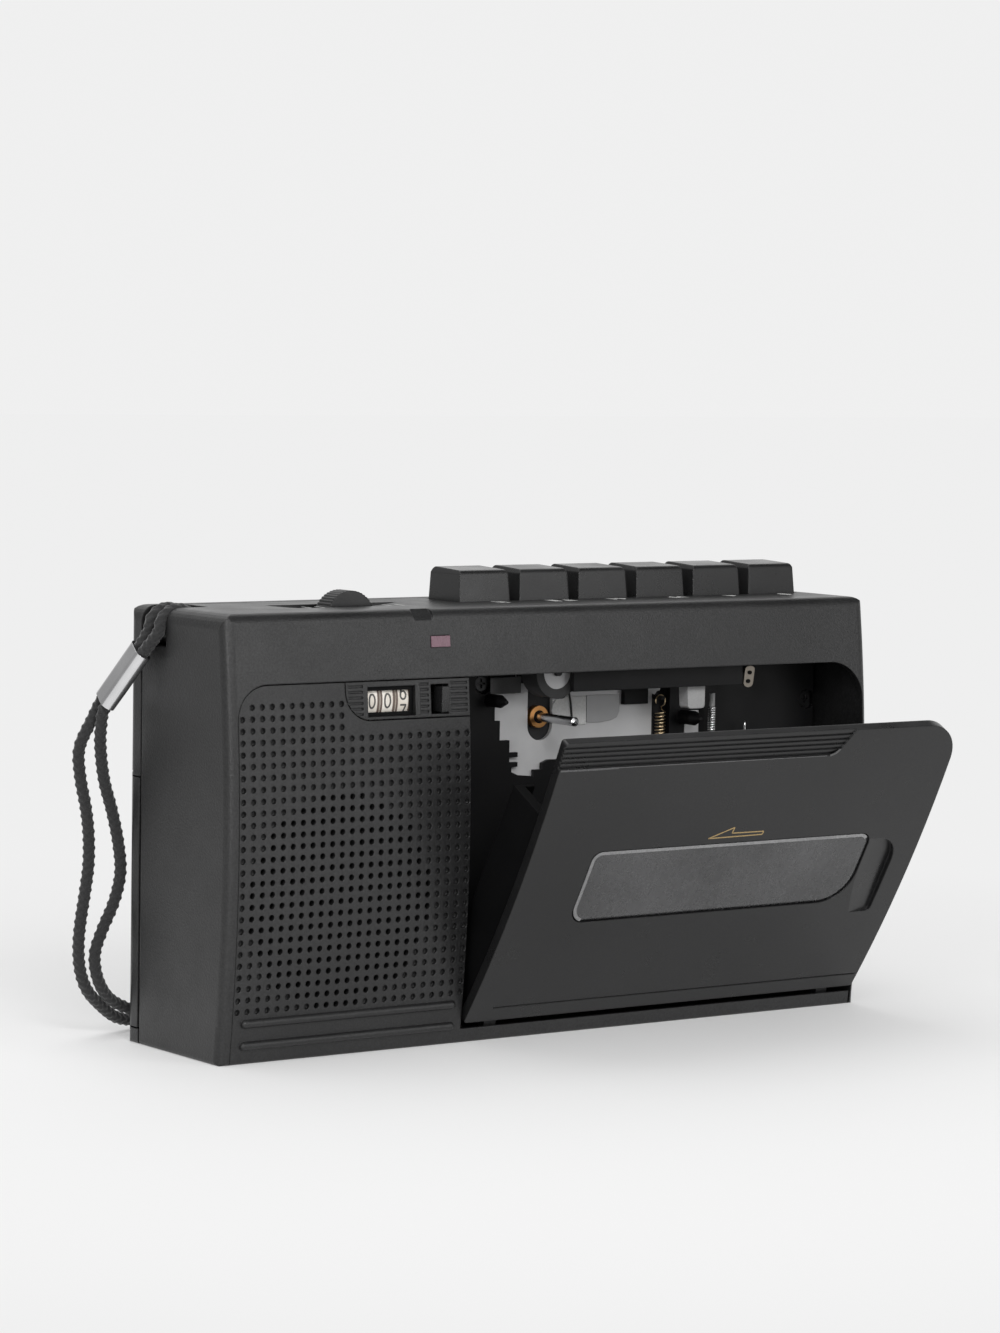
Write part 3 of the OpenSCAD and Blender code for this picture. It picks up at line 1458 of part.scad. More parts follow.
module record_head() {
    half = 6;
    color("#b4b6b8") along_x(cas_x - half, cas_x + half)
        rounded_polygon([[cas_y - 3.2, cas_top + 2.4], [cas_y + 3.2, cas_top + 2.4],
            [cas_y + 3.2, shelf_z - 1],
            [cas_y - 3.2, shelf_z - 1]], [1.5, 1.5, 0, 0]);
}

module erase_head() {
    x = cas_x + 8.8;
    half = 2.6;
    taper = 0.6;
    round_r = 0.8;
    tip = cas_top - 3.9;
    color("#a9abad") along_y(cas_y - 3, cas_y + 0.1)
        stepped_polygon([[x - half + taper, tip], [x + half, tip], [x + half, shelf_z - 1],
            [x - half, shelf_z - 1]],
            [round_r, round_r, 0, 0]);
}

module pinch_arm() {
    arm_t = 1;
    y0 = plate_y - arm_t;
    color("#c3c5c7") {
        along_y(y0, plate_y) rounded_polygon([[capstan_x + 3, capstan_z + 3.8],
            [capstan_x + 6.6, capstan_z + 3.8],
            [capstan_x + 6.6, shelf_z - 1], [pinch_x - 3, shelf_z - 1], [pinch_x - 3, pinch_z - 3],
            [capstan_x + 3, pinch_z - 3]], [1, 1, 0, 1, 1, 0]);
        rod_y(pinch_x, pinch_z, pinch_y - 0.6, plate_y - 0.1, pinch_pin_r);
        rod_y(pinch_x, pinch_z, pinch_y + pinch_w + 0.2, plate_y - 0.1, 2);
    }
}

module pinch_roller() {
    hub = pinch_d / 2 - 2;
    color("#1a1a1b") difference() {
        rod_y(pinch_x, pinch_z, pinch_y, pinch_y + pinch_w, pinch_d / 2);
        rod_y(pinch_x, pinch_z, pinch_y - cut, pinch_y + pinch_w + cut, hub);
    }
}

module pinch_hub() {
    hub = pinch_d / 2 - 2;
    color("#b9bbbd") difference() {
        rod_y(pinch_x, pinch_z, pinch_y + 0.3, pinch_y + pinch_w - 0.1, hub - 0.02);
        rod_y(pinch_x, pinch_z, pinch_y - cut, pinch_y + pinch_w + cut, pinch_pin_r + run_gap);
    }
}

module flywheel() {
    color("#8e9092") difference() {
        union() {
            rod_y(capstan_x, capstan_z, wheel_y0, disc_y1, hub_r);
            rod_y(capstan_x, capstan_z, disc_y0, disc_y1, flywheel_r);
        }
        rod_y(capstan_x, capstan_z, wheel_y0 - cut, disc_y1 + cut, capstan_d / 2 + 0.02);
    }
}

module capstan_shaft() {
    color("#d0d2d4") tipped_rod_y(capstan_x, capstan_z, capstan_tip, bracket_y + 0.8, capstan_d / 2,
        capstan_d / 4, 0.5);
}

module motor_pulley() {
    color("#c2a35c") {
        rod_y(motor_x, motor_z, disc_y0, disc_y1, pulley_r);
        rod_y(motor_x, motor_z, disc_y1 - 0.1, bracket_y + bracket_t + 2.6, motor_shaft_r);
    }
}

// Reel table with a finned spindle and its shaft
module reel(x) {
    table_y = deck_y - 1.2;
    tip_y = cas_y - 2.8;
    core_r = 3.4;
    fin_r = 4.6;
    fin_t = 0.9;
    fins = 6;
    color("#202021") {
        rod_y(x, reel_z, table_y, plate_y - 0.5, reel_d / 2);
        rod_y(x, reel_z, plate_y - 0.6, chassis_y - 0.2, 3);
        rod_y(x, reel_z, chassis_y - 0.3, wheel_y1, 1.5);
        tipped_rod_y(x, reel_z, tip_y, table_y + 0.1, core_r, 1.6, 1.8);
        for (i = [0 : fins - 1]) {
            translate([x, 0, reel_z]) rotate([0, 360 * i / fins, 0])
                box([0, tip_y + 2, -fin_t / 2], [fin_r, table_y + 0.1, fin_t / 2]);
        }
    }
}

module takeup_reel() {
    reel(takeup_x);
}

module supply_reel() {
    reel(supply_x);
}

module takeup_wheel() {
    color("#3b3b3d") difference() {
        rod_y(takeup_x, reel_z, wheel_y0, wheel_y1, takeup_r);
        rod_y(takeup_x, reel_z, wheel_y0 - cut, wheel_y1 + cut, 1.52);
    }
}

module idler_wheel() {
    color("#2d2d2f") difference() {
        rod_y(idler_x, idler_z, wheel_y0, wheel_y1, idler_r);
        rod_y(idler_x, idler_z, wheel_y0 - cut, wheel_y1 + cut, 1 + run_gap);
    }
}

// Thumb wheel with a notched rim
module volume_wheel() {
    notches = 48;
    notch_r = 0.22;
    color("#29292b") difference() {
        rod_y(wheel_x, wheel_z, wheel_y - wheel_w / 2, wheel_y + wheel_w / 2, wheel_d / 2);
        rod_y(wheel_x, wheel_z, wheel_y - wheel_w / 2 - cut, wheel_y + wheel_w / 2 + cut,
            pot_shaft_r + run_gap);
        for (i = [0 : notches - 1]) {
            translate([wheel_x, 0, wheel_z]) rotate([0, 360 * i / notches, 0])
                rod_y(wheel_d / 2 + notch_r / 3, 0, wheel_y - wheel_w / 2 - cut,
                    wheel_y + wheel_w / 2 + cut, notch_r);
        }
    }
}

front_cabinet();
rear_cabinet();
grille_panel();
counter_bezel();
led_lens();
microphone();
speaker_frame();
speaker_cone();
chassis_plate();
deck_cover();
head_guard();
capstan_bushing();
drive_bracket();
motor();
drive_belt();
circuit_board();
board_components();
jack_sockets();
battery_contacts();
volume_pot();
counter_frame();
key_guide();
hinge_pins();
strap_bar();
strap_ferrule();
wrist_strap();
cabinet_screws();
chassis_screws();
play_spring();
key_springs();
cassette_door();
door_window();
cassette_holder();
battery_door();
key(0);  // key_pause
key(1);  // key_stop
key(2);  // key_forward
key(3);  // key_rewind
key(4);  // key_play
key(5);  // key_record
head_plate();
head_block();
record_head();
erase_head();
pinch_arm();
pinch_roller();
pinch_hub();
flywheel();
capstan_shaft();
motor_pulley();
takeup_reel();
takeup_wheel();
supply_reel();
idler_wheel();
counter_units();
counter_tens();
counter_hundreds();
reset_button();
volume_wheel();
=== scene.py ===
import math

import bpy
from mathutils import Matrix, Vector


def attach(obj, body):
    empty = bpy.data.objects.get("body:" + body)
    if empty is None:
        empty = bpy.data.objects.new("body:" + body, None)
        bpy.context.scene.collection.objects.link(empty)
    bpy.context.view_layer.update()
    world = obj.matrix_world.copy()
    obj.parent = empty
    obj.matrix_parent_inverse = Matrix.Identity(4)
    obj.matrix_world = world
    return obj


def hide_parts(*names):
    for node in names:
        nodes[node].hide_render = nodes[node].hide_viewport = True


MM = 0.001
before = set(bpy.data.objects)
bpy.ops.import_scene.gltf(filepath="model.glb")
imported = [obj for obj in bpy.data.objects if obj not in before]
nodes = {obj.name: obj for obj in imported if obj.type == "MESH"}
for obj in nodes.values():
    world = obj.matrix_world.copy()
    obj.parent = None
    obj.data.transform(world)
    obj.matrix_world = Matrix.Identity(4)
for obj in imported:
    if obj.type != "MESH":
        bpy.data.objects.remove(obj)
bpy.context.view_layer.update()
scene = bpy.context.scene
scene.view_settings.view_transform = "Standard"


# Camera: solved from the photograph, 1000 x 1333
CAMERA_PLACE = (-0.52254, -0.73580, 0.14792)
AZIMUTH, PITCH, ROLL = (math.radians(a) for a in (35.260, -4.4616, 0.9287))
SENSOR_MM, FOCAL_PX, PHOTO_TALL_PX = 36, 4177.93, 1333


def make_camera():
    level = math.cos(PITCH)
    ahead = Vector((math.sin(AZIMUTH) * level, math.cos(AZIMUTH) * level, math.sin(PITCH)))
    right = Vector((math.cos(AZIMUTH), -math.sin(AZIMUTH), 0))
    up = right.cross(ahead)
    side = right * math.cos(ROLL) + up * math.sin(ROLL)
    top = up * math.cos(ROLL) - right * math.sin(ROLL)
    data = bpy.data.cameras.new("camera")
    data.sensor_width = SENSOR_MM
    data.lens = SENSOR_MM * FOCAL_PX / PHOTO_TALL_PX
    data.clip_start, data.clip_end = 0.01, 50
    cam = bpy.data.objects.new("camera", data)
    scene.collection.objects.link(cam)
    rows = [[side[i], top[i], -ahead[i], p] for i, p in enumerate(CAMERA_PLACE)]
    cam.matrix_world = Matrix(rows + [[0, 0, 0, 1]])
    scene.camera = cam


make_camera()


# Node graph helpers
class Graph:
    """A new material with short ways to add and link its nodes."""

    def __init__(self, name):
        self.mat = bpy.data.materials.new(name)
        self.mat.use_nodes = True
        self.tree = self.mat.node_tree
        self.shader = self.tree.nodes["Principled BSDF"]
        self.coord = self.add("ShaderNodeTexCoord").outputs["Object"]

    def add(self, kind, **values):
        node = self.tree.nodes.new(kind)
        for key, value in values.items():
            setattr(node, key, value)
        return node

    def link(self, a, b):
        self.tree.links.new(a, b)

    def put(self, **values):
        for key, value in values.items():
            self.shader.inputs[key.replace("_", " ")].default_value = value

    def stretched(self, scale):
        node = self.add("ShaderNodeMapping")
        node.inputs["Scale"].default_value = scale
        self.link(self.coord, node.inputs["Vector"])
        return node.outputs["Vector"]

    def noise(self, scale, detail=3.0, rough=0.5, vector=None):
        node = self.add("ShaderNodeTexNoise")
        node.inputs["Scale"].default_value = scale
        node.inputs["Detail"].default_value = detail
        node.inputs["Roughness"].default_value = rough
        self.link(vector or self.coord, node.inputs["Vector"])
        return node.outputs["Fac"]

    def cells(self, scale, vector=None, smooth=0.6):
        node = self.add("ShaderNodeTexVoronoi", feature="SMOOTH_F1")
        node.inputs["Scale"].default_value = scale
        node.inputs["Smoothness"].default_value = smooth
        self.link(vector or self.coord, node.inputs["Vector"])
        return node.outputs["Distance"]

    def ramp(self, value, stops):
        node = self.add("ShaderNodeValToRGB")
        self.link(value, node.inputs["Fac"])
        points = node.color_ramp.elements
        while len(points) < len(stops):
            points.new(0.5)
        for point, (place, colour) in zip(points, stops):
            point.position = place
            point.color = (*colour, 1)
        return node.outputs["Color"]

    def span(self, value, low, high, start=0.3, end=0.7):
        node = self.add("ShaderNodeMapRange")
        for key, number in zip(("From Min", "From Max", "To Min", "To Max"), (start, end, low, high)):
            node.inputs[key].default_value = number
        self.link(value, node.inputs["Value"])
        return node.outputs["Result"]

    def math(self, kind, a, b):
        node = self.add("ShaderNodeMath", operation=kind)
        for socket, value in zip(node.inputs, (a, b)):
            if isinstance(value, (int, float)):
                socket.default_value = value
            else:
                self.link(value, socket)
        return node.outputs["Value"]

    def bump(self, height, strength, depth_mm, after=None):
        node = self.add("ShaderNodeBump")
        node.inputs["Strength"].default_value = strength
        node.inputs["Distance"].default_value = depth_mm * MM
        self.link(height, node.inputs["Height"])
        if after:
            self.link(after, node.inputs["Normal"])
        return node.outputs["Normal"]

    def edges(self, radius_mm):
        """Normals of softly rounded edges."""
        node = self.add("ShaderNodeBevel", samples=4)
        node.inputs["Radius"].default_value = radius_mm * MM
        return node.outputs["Normal"]

    def colour(self, socket):
        self.link(socket, self.shader.inputs["Base Color"])

    def rough(self, socket):
        self.link(socket, self.shader.inputs["Roughness"])

    def normal(self, socket):
        self.link(socket, self.shader.inputs["Normal"])


def shade(colour, factor):
    return tuple(c * factor for c in colour)


def plastic(name, colour, rough=0.5, grain_mm=0.4, depth_mm=0.03, grain=0.5, edge_mm=0.3, speckle=0.1,
            gloss=0.5):
    """Moulded plastic with a fine spark-eroded grain, faint flow marks and handling marks."""
    g = Graph(name)
    g.put(Specular_IOR_Level=gloss)
    per_grain = 1 / (grain_mm * MM)
    specks = g.span(g.noise(0.9 * per_grain, 1), 1 - speckle, 1 + speckle)
    flow = g.math("MULTIPLY", g.noise(22, 4), specks)
    g.colour(g.ramp(flow, [(0.2, shade(colour, 0.6)), (0.5, colour), (0.8, shade(colour, 1.5))]))
    smear = g.noise(90, 5, 0.65)
    g.rough(g.span(smear, rough - 0.06, rough + 0.07))
    pits = g.cells(per_grain)
    fine = g.noise(2.6 * per_grain, 2)
    height = g.math("ADD", pits, g.math("MULTIPLY", fine, 0.5))
    g.normal(g.bump(height, grain, depth_mm, g.edges(edge_mm)))
    return g.mat


def sheet_metal(name, colour, rough=0.35, along=(30, 1500, 1500), depth_mm=0.004, metal=1.0):
    """Plated or rolled sheet with faint drawn lines and dull patches."""
    g = Graph(name)
    g.put(Metallic=metal)
    lines = g.noise(1, 3, 0.6, g.stretched(along))
    dull = g.noise(70, 4)
    g.colour(g.ramp(dull, [(0.3, shade(colour, 0.88)), (0.72, shade(colour, 1.08))]))
    g.rough(g.math("ADD", g.span(dull, rough - 0.05, rough + 0.08), g.math("MULTIPLY", lines, 0.06)))
    g.normal(g.bump(lines, 0.3, depth_mm, g.edges(0.12)))
    return g.mat


def turned_metal(name, colour, rough=0.2, ring_mm=0.12):
    """Turned or drawn metal with fine rings along Y."""
    return sheet_metal(name, colour, rough, (200, 1 / (ring_mm * MM), 200), 0.003)


def rubber(name, colour=(0.012, 0.012, 0.012), rough=0.62):
    g = Graph(name)
    dust = g.noise(260, 5, 0.6)
    g.colour(g.ramp(dust, [(0.35, colour), (0.8, shade(colour, 2.2))]))
    g.rough(g.span(dust, rough - 0.08, rough + 0.1))
    g.normal(g.bump(g.noise(3000, 2), 0.3, 0.02))
    return g.mat


# The reel hub that shows faintly through the pane: its middle, and where its edge starts and ends
HUB = (26.57 * MM, -39.78 * MM, 36.04 * MM)
HUB_EDGE = (3.8 * MM, 4.6 * MM)


def smoked_window():
    """Grey tinted pane: hazy, scuffed, with a moulded bevel round its edge."""
    g = Graph("smoked_window")
    haze = g.noise(35, 4)
    scuff = g.noise(1, 4, 0.7, g.stretched((900, 60, 500)))
    tint = g.math("ADD", haze, g.span(scuff, -0.12, 0.12))
    hub = g.add("ShaderNodeVectorMath", operation="DISTANCE")
    g.link(g.coord, hub.inputs[0])
    hub.inputs[1].default_value = HUB
    tint = g.math("MULTIPLY", tint, g.span(hub.outputs["Value"], 0.78, 1, *HUB_EDGE))
    g.colour(g.ramp(tint, [(0.2, (0.045, 0.045, 0.046)), (0.75, (0.088, 0.088, 0.09))]))
    g.rough(g.span(g.noise(400, 4, 0.7), 0.2, 0.34))
    g.normal(g.bump(scuff, 0.06, 0.01, g.edges(0.5)))
    g.put(Alpha=0.86, IOR=1.5)
    return g.mat


def lamp_lens():
    g = Graph("lamp_lens")
    flow = g.noise(500, 3)
    g.colour(g.ramp(flow, [(0.3, (0.12, 0.058, 0.078)), (0.75, (0.165, 0.09, 0.115))]))
    g.rough(g.span(flow, 0.22, 0.34))
    g.normal(g.bump(flow, 0.1, 0.02, g.edges(0.15)))
    return g.mat


def drum_plastic():
    g = Graph("drum_plastic")
    age = g.noise(300, 4)
    g.colour(g.ramp(age, [(0.3, (0.62, 0.57, 0.5)), (0.72, (0.8, 0.77, 0.71))]))
    g.rough(g.span(age, 0.3, 0.45))
    return g.mat


def printed(name, colour, rough=0.5):
    """Pad-printed ink, a little uneven."""
    g = Graph(name)
    g.colour(g.ramp(g.noise(2500, 3), [(0.3, shade(colour, 0.75)), (0.7, shade(colour, 1.1))]))
    g.rough(g.span(g.noise(900, 3), rough - 0.05, rough + 0.1))
    return g.mat


def laminate():
    g = Graph("laminate")
    tracks = g.cells(900, g.stretched((1, 1, 3)), 0.2)
    g.colour(g.ramp(tracks, [(0.25, (0.03, 0.11, 0.05)), (0.4, (0.06, 0.2, 0.09))]))
    g.rough(g.span(g.noise(200), 0.35, 0.5))
    g.normal(g.bump(tracks, 0.3, 0.03))
    return g.mat


def paper_cone():
    g = Graph("paper_cone")
    fibre = g.noise(2200, 4, 0.7)
    g.colour(g.ramp(fibre, [(0.3, (0.01, 0.01, 0.01)), (0.8, (0.028, 0.027, 0.026))]))
    g.rough(g.span(fibre, 0.8, 0.95))
    g.normal(g.bump(fibre, 0.5, 0.05))
    return g.mat


def braided_cord():
    """Knitted cord: crossing yarns come from the mesh, fibres from the bump."""
    g = Graph("braided_cord")
    fibre = g.noise(3500, 4, 0.7)
    g.colour(g.ramp(fibre, [(0.3, (0.004, 0.004, 0.0045)), (0.52, (0.011, 0.011, 0.0115)),
                            (0.75, (0.036, 0.036, 0.037))]))
    g.rough(g.span(fibre, 0.7, 0.9))
    g.normal(g.bump(fibre, 0.8, 0.12))
    g.put(Sheen_Weight=0.25, Sheen_Roughness=0.5)
    return g.mat


CASE_BLACK = (0.0115, 0.0115, 0.0118)
SMOOTH = {"depth_mm": 0.01, "grain": 0.3}  # plain mouldings with hardly any grain
CABINET = plastic("cabinet_plastic", CASE_BLACK, rough=0.36, depth_mm=0.045, grain=0.7, edge_mm=0.4,
                  speckle=0.6)
PANEL = plastic("panel_plastic", CASE_BLACK, rough=0.4, depth_mm=0.045, grain=0.65, speckle=0.55)
DOOR = plastic("door_plastic", (0.0075, 0.0075, 0.0078), rough=0.31, grain_mm=0.35, depth_mm=0.004, grain=0.2,
               edge_mm=0.4, speckle=0.3, gloss=0.46)
KEYS = plastic("key_plastic", (0.0125, 0.0125, 0.0128), rough=0.27, grain_mm=0.3, depth_mm=0.005, grain=0.2,
               edge_mm=0.45, speckle=0.3, gloss=0.48)
BLACK = plastic("inner_black", (0.0042, 0.0042, 0.0046), grain_mm=0.3, edge_mm=0.2, speckle=0.15, gloss=0.22,
                **SMOOTH)
STEEL = sheet_metal("plated_sheet", (0.6, 0.6, 0.605), rough=0.42, metal=0.4)
GREY_SHEET = sheet_metal("dull_sheet", (0.02, 0.02, 0.021), rough=0.5, metal=0.3)
NICKEL = sheet_metal("dark_nickel", (0.24, 0.215, 0.185), rough=0.32)
# Lighter plastic for the grip's lower edge: a painted highlight, with wear.
WORN_HIGHLIGHT = plastic("worn_plastic_highlight", (0.075, 0.075, 0.076), rough=0.3, edge_mm=0.1, speckle=0.3, **SMOOTH)
HOLDER = plastic("holder_black", (0.003, 0.003, 0.0033), rough=0.6, grain_mm=0.3, edge_mm=0.2, speckle=0.2,
                 gloss=0.12, **SMOOTH)
DIM_SHEET = sheet_metal("dim_sheet", (0.4, 0.4, 0.405), rough=0.4, metal=0.4)
DARK_GREY = plastic("dark_grey_moulding", (0.085, 0.085, 0.086), rough=0.45, grain_mm=0.3, **SMOOTH)
CHROME = sheet_metal("bright_plate", (0.75, 0.75, 0.76), rough=0.16, along=(900, 900, 40), depth_mm=0.002)
SHAFT = turned_metal("ground_steel", (0.55, 0.55, 0.56), rough=0.18)
BRONZE = turned_metal("sintered_bronze", (0.72, 0.36, 0.13), rough=0.3)
BRASS = turned_metal("brassy_wire", (0.55, 0.43, 0.27), rough=0.28)
CAST = turned_metal("turned_wheel", (0.4, 0.4, 0.41), rough=0.4, ring_mm=0.3)
RUBBER = rubber("black_rubber")
BLACK_SCREW = sheet_metal("blackened_screw", (0.045, 0.045, 0.046), rough=0.38)
WINDOW = smoked_window()
LENS = lamp_lens()
DRUM = drum_plastic()
CORD = braided_cord()
INK_DARK = printed("dark_digits", (0.075, 0.072, 0.07))
# Brown of the drums' side bands: painted shade between the drums.
INK_BROWN_SHADE = printed("drum_side_shade", (0.13, 0.095, 0.08))
PALE_PLASTIC = plastic("pale_moulding", (0.7, 0.7, 0.69), rough=0.42, **SMOOTH)
# Lighter grey of the pane's rim: a painted highlight along its lit top and left edge.
RIM_HIGHLIGHT = plastic("pane_rim_highlight", (0.2, 0.2, 0.202), rough=0.26, depth_mm=0.01, grain=0.2, edge_mm=0.2, speckle=0.2)
INK_PALE = printed("pale_marks", (0.55, 0.55, 0.54))
INK_GOLD = printed("gold_marks", (0.36, 0.25, 0.105))
BOARD = laminate()
PAPER = paper_cone()
GREY_CAP = plastic("grey_moulding", (0.38, 0.38, 0.38), rough=0.45, grain_mm=0.3, **SMOOTH)
POLISHED = sheet_metal("polished_wire", (0.8, 0.8, 0.8), rough=0.2, along=(60, 60, 900), depth_mm=0.002)
SLEEVE = plastic("component_sleeve", (0.02, 0.03, 0.06), rough=0.3, grain_mm=0.6, depth_mm=0.01, grain=0.2)

FINISH = {
    CABINET: ["front_cabinet", "rear_cabinet", "battery_door", "strap_bar"],
    PANEL: ["grille_panel", "counter_bezel"],
    DOOR: ["cassette_door"],
    KEYS: ["key_pause", "key_stop", "key_forward", "key_rewind", "key_play", "key_record", "reset_button",
           "volume_wheel"],
    BLACK: ["deck_cover", "head_guard", "jack_sockets", "counter_frame", "key_guide", "head_block",
            "takeup_reel", "supply_reel"],
    HOLDER: ["cassette_holder"],
    DIM_SHEET: ["pinch_hub"],
    STEEL: ["head_plate", "battery_contacts", "hinge_pins", "cabinet_screws", "drive_bracket", "motor",
            "speaker_frame", "microphone", "volume_pot", "key_springs"],
    GREY_SHEET: ["chassis_plate", "pinch_arm"],
    CHROME: ["strap_ferrule", "record_head"],
    SHAFT: ["capstan_shaft"],
    BRONZE: ["capstan_bushing"],
    BRASS: ["play_spring", "motor_pulley"],
    CAST: ["flywheel"],
    RUBBER: ["pinch_roller", "idler_wheel", "takeup_wheel", "drive_belt"],
    BLACK_SCREW: ["chassis_screws"],
    WINDOW: ["door_window"],
    LENS: ["led_lens"],
    DRUM: ["counter_units", "counter_tens", "counter_hundreds"],
    BOARD: ["circuit_board"],
    PAPER: ["speaker_cone"],
    SLEEVE: ["board_components"],
    GREY_CAP: ["erase_head"],
}
for material, names in FINISH.items():
    for name in names:
        node = nodes[name]
        node.data.materials.clear()
        node.data.materials.append(material)


def piece(name, mesh, material, body):
    """Adds a mesh as a piece that rides on a body."""
    obj = bpy.data.objects.new(name, mesh)
    scene.collection.objects.link(obj)
    mesh.materials.append(material)
    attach(obj, body)
    return obj


def mesh_of(name, points, faces, smooth=False):
    mesh = bpy.data.meshes.new(name)
    mesh.from_pydata([tuple(c * MM for c in p) for p in points], [], faces)
    mesh.update()
    for face in mesh.polygons:
        face.use_smooth = smooth
    return mesh


# Wrist strap: the route of the CAD solid, in millimetres
LOOP = [
    (-85.3, 9.75, 85.75), (-85.87, 10.17, 84.46), (-87.58, 13.42, 79.72), (-89.01, 16.13, 75.77),
    (-90.43, 18.84, 71.82), (-91.7, 20.3, 68), (-94, 21.5, 62), (-93.4, 22.2, 56), (-91.5, 23, 49),
    (-90.5, 23.5, 43), (-90.5, 23.5, 37), (-91.2, 23.7, 31), (-92, 24, 25), (-92.2, 24.4, 20),
    (-91.5, 25, 15), (-89.5, 25.8, 10.5), (-86, 27, 7),
    (-81, 28.7, 3.5), (-76, 30.1, 2.1), (-71, 31.2, 1.5), (-66, 31.9, 1.4), (-61.5, 31.8, 1.4),
    (-57.8, 30.3, 1.4), (-56.3, 26.6, 1.4), (-57.8, 22.9, 1.4), (-61.5, 21.4, 1.5), (-66, 21.9, 2.1),
    (-71, 23.3, 3.1), (-76, 25, 4.4), (-81, 26, 6.2), (-85, 25, 8.8), (-88, 23.7, 13), (-89, 23.1, 18),
    (-87.5, 22.8, 23), (-84.9, 22.4, 29), (-83.6, 22.1, 35), (-84.2, 21.9, 41), (-86, 21.5, 48),
    (-88.5, 20.7, 55), (-90.3, 19.2, 62), (-91, 17.8, 66.8), (-90.92, 16.62, 70.48), (-89.49, 13.91, 74.43),
    (-88.07, 11.2, 78.38), (-86.36, 7.95, 83.12), (-85.4, 6.4, 85.3)]
BAR_X, BAR_Z, BAR_BEND = -80.3, 87.2, 4.4
NOTCH_Z, TAIL = 84.0, 3.5
STRAND_Y = (9.3, 5.3)


def over_bar(y):
    """One strand from inside the cabinet over the bar to the outside."""
    x = BAR_X + BAR_BEND
    turns = [math.radians(a) for a in range(0, 181, 30)]
    return [(x, y, NOTCH_Z - TAIL), (x, y, NOTCH_Z)] + [
        (BAR_X + BAR_BEND * math.cos(a), y, BAR_Z + BAR_BEND * math.sin(a)) for a in turns]


ROUTE = over_bar(STRAND_Y[0]) + LOOP + over_bar(STRAND_Y[1])[::-1]
STRAP_D, STRAP_STEP = 2.6, 0.21
SIDES, YARNS, LAY = 40, 4, 1.75
CORE, RELIEF = 0.94, 0.12  # mean radius and swell of the yarns, as shares of the strap's radius
CURVE_PARTS = 12


def smooth_line(points, step):
    """Catmull-Rom line through the points, then evenly spaced."""
    p = [Vector(q) for q in points]
    p = [2 * p[0] - p[1]] + p + [2 * p[-1] - p[-2]]
    line = []
    for a, b, c, d in zip(p, p[1:], p[2:], p[3:]):
        for i in range(CURVE_PARTS):
            t = i / CURVE_PARTS
            line.append(0.5 * (2 * b + (c - a) * t + (2 * a - 5 * b + 4 * c - d) * t * t
                               + (3 * b - a - 3 * c + d) * t ** 3))
    line.append(p[-2])
    total = sum((b - a).length for a, b in zip(line, line[1:]))
    count = round(total / step)
    even, walked, target = [line[0]], 0.0, total / count
    for a, b in zip(line, line[1:]):
        length = (b - a).length
        while target <= walked + length and len(even) < count:
            even.append(a.lerp(b, (target - walked) / length))
            target += total / count
        walked += length
    even.append(line[-1])
    return even, total


def tube_faces(rings, sides):
    """Faces of a tube whose points go ring by ring, with flat ends."""
    faces = []
    for i in range(rings - 1):
        for j in range(sides):
            k = (j + 1) % sides
            faces.append((i * sides + j, i * sides + k, (i + 1) * sides + k, (i + 1) * sides + j))
    faces.append(tuple(range(sides - 1, -1, -1)))
    faces.append(tuple((rings - 1) * sides + j for j in range(sides)))
    return faces


def make_strap():
    line, total = smooth_line(ROUTE, STRAP_STEP)
    points = []
    across = Vector((0, 1, 0))
    walked = 0.0
    for i, p in enumerate(line):
        ahead = (line[min(i + 1, len(line) - 1)] - line[max(i - 1, 0)]).normalized()
        across = (across - across.dot(ahead) * ahead).normalized()
        other = ahead.cross(across)
        turn = 2 * math.pi * walked / LAY
        for j in range(SIDES):
            a = 2 * math.pi * j / SIDES
            weave = math.sin(YARNS * a) * math.sin(turn)
            r = STRAP_D / 2 * (CORE + RELIEF * weave)
            points.append(p + r * (math.cos(a) * across + math.sin(a) * other))
        if i:
            walked += (p - line[i - 1]).length
    faces = tube_faces(len(line), SIDES)
    strap = piece("strap_cord", mesh_of("strap_cord", points, faces, True), CORD, "cabinet")
    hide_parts("wrist_strap")


make_strap()


# Small printed and moulded details: the door's hinge and opening, and the bowed front
HINGE_Y, HINGE_Z, DOOR_TURN = -16.4, 5.4, math.radians(29)
CROWN_R, CROWN_Y, MID_Z = 354.1667, 332.1667, 46.0


def crown_y(z, inset=0.0):
    """Depth of the bowed front at a height."""
    return CROWN_Y - math.sqrt((CROWN_R - inset) ** 2 - (z - MID_Z) ** 2)


def opened(p):
    """A point of the shut door, carried to the open door."""
    y, z = p[1] - HINGE_Y, p[2] - HINGE_Z
    c, s = math.cos(DOOR_TURN), math.sin(DOOR_TURN)
    return (p[0], y * c - z * s + HINGE_Y, y * s + z * c + HINGE_Z)


def fine_line(points, step=0.2):
    """The same line with short steps."""
    line = [points[0]]
    for a, b in zip(points, points[1:]):
        n = max(1, math.ceil(math.dist(a, b) / step))
        line += [tuple(u + (v - u) * i / n for u, v in zip(a, b)) for i in range(1, n + 1)]
    return line


def ribbon(points, width):
    """Left and right rails of a stroke with mitred bends, in the plane."""
    rails = []
    for i, p in enumerate(points):
        a = points[max(i - 1, 0)]
        b = points[min(i + 1, len(points) - 1)]
        dx, dy = b[0] - a[0], b[1] - a[1]
        n = math.hypot(dx, dy) or 1.0
        rails.append(((p[0] - dy / n * width / 2, p[1] + dx / n * width / 2),
                      (p[0] + dy / n * width / 2, p[1] - dx / n * width / 2)))
    return rails


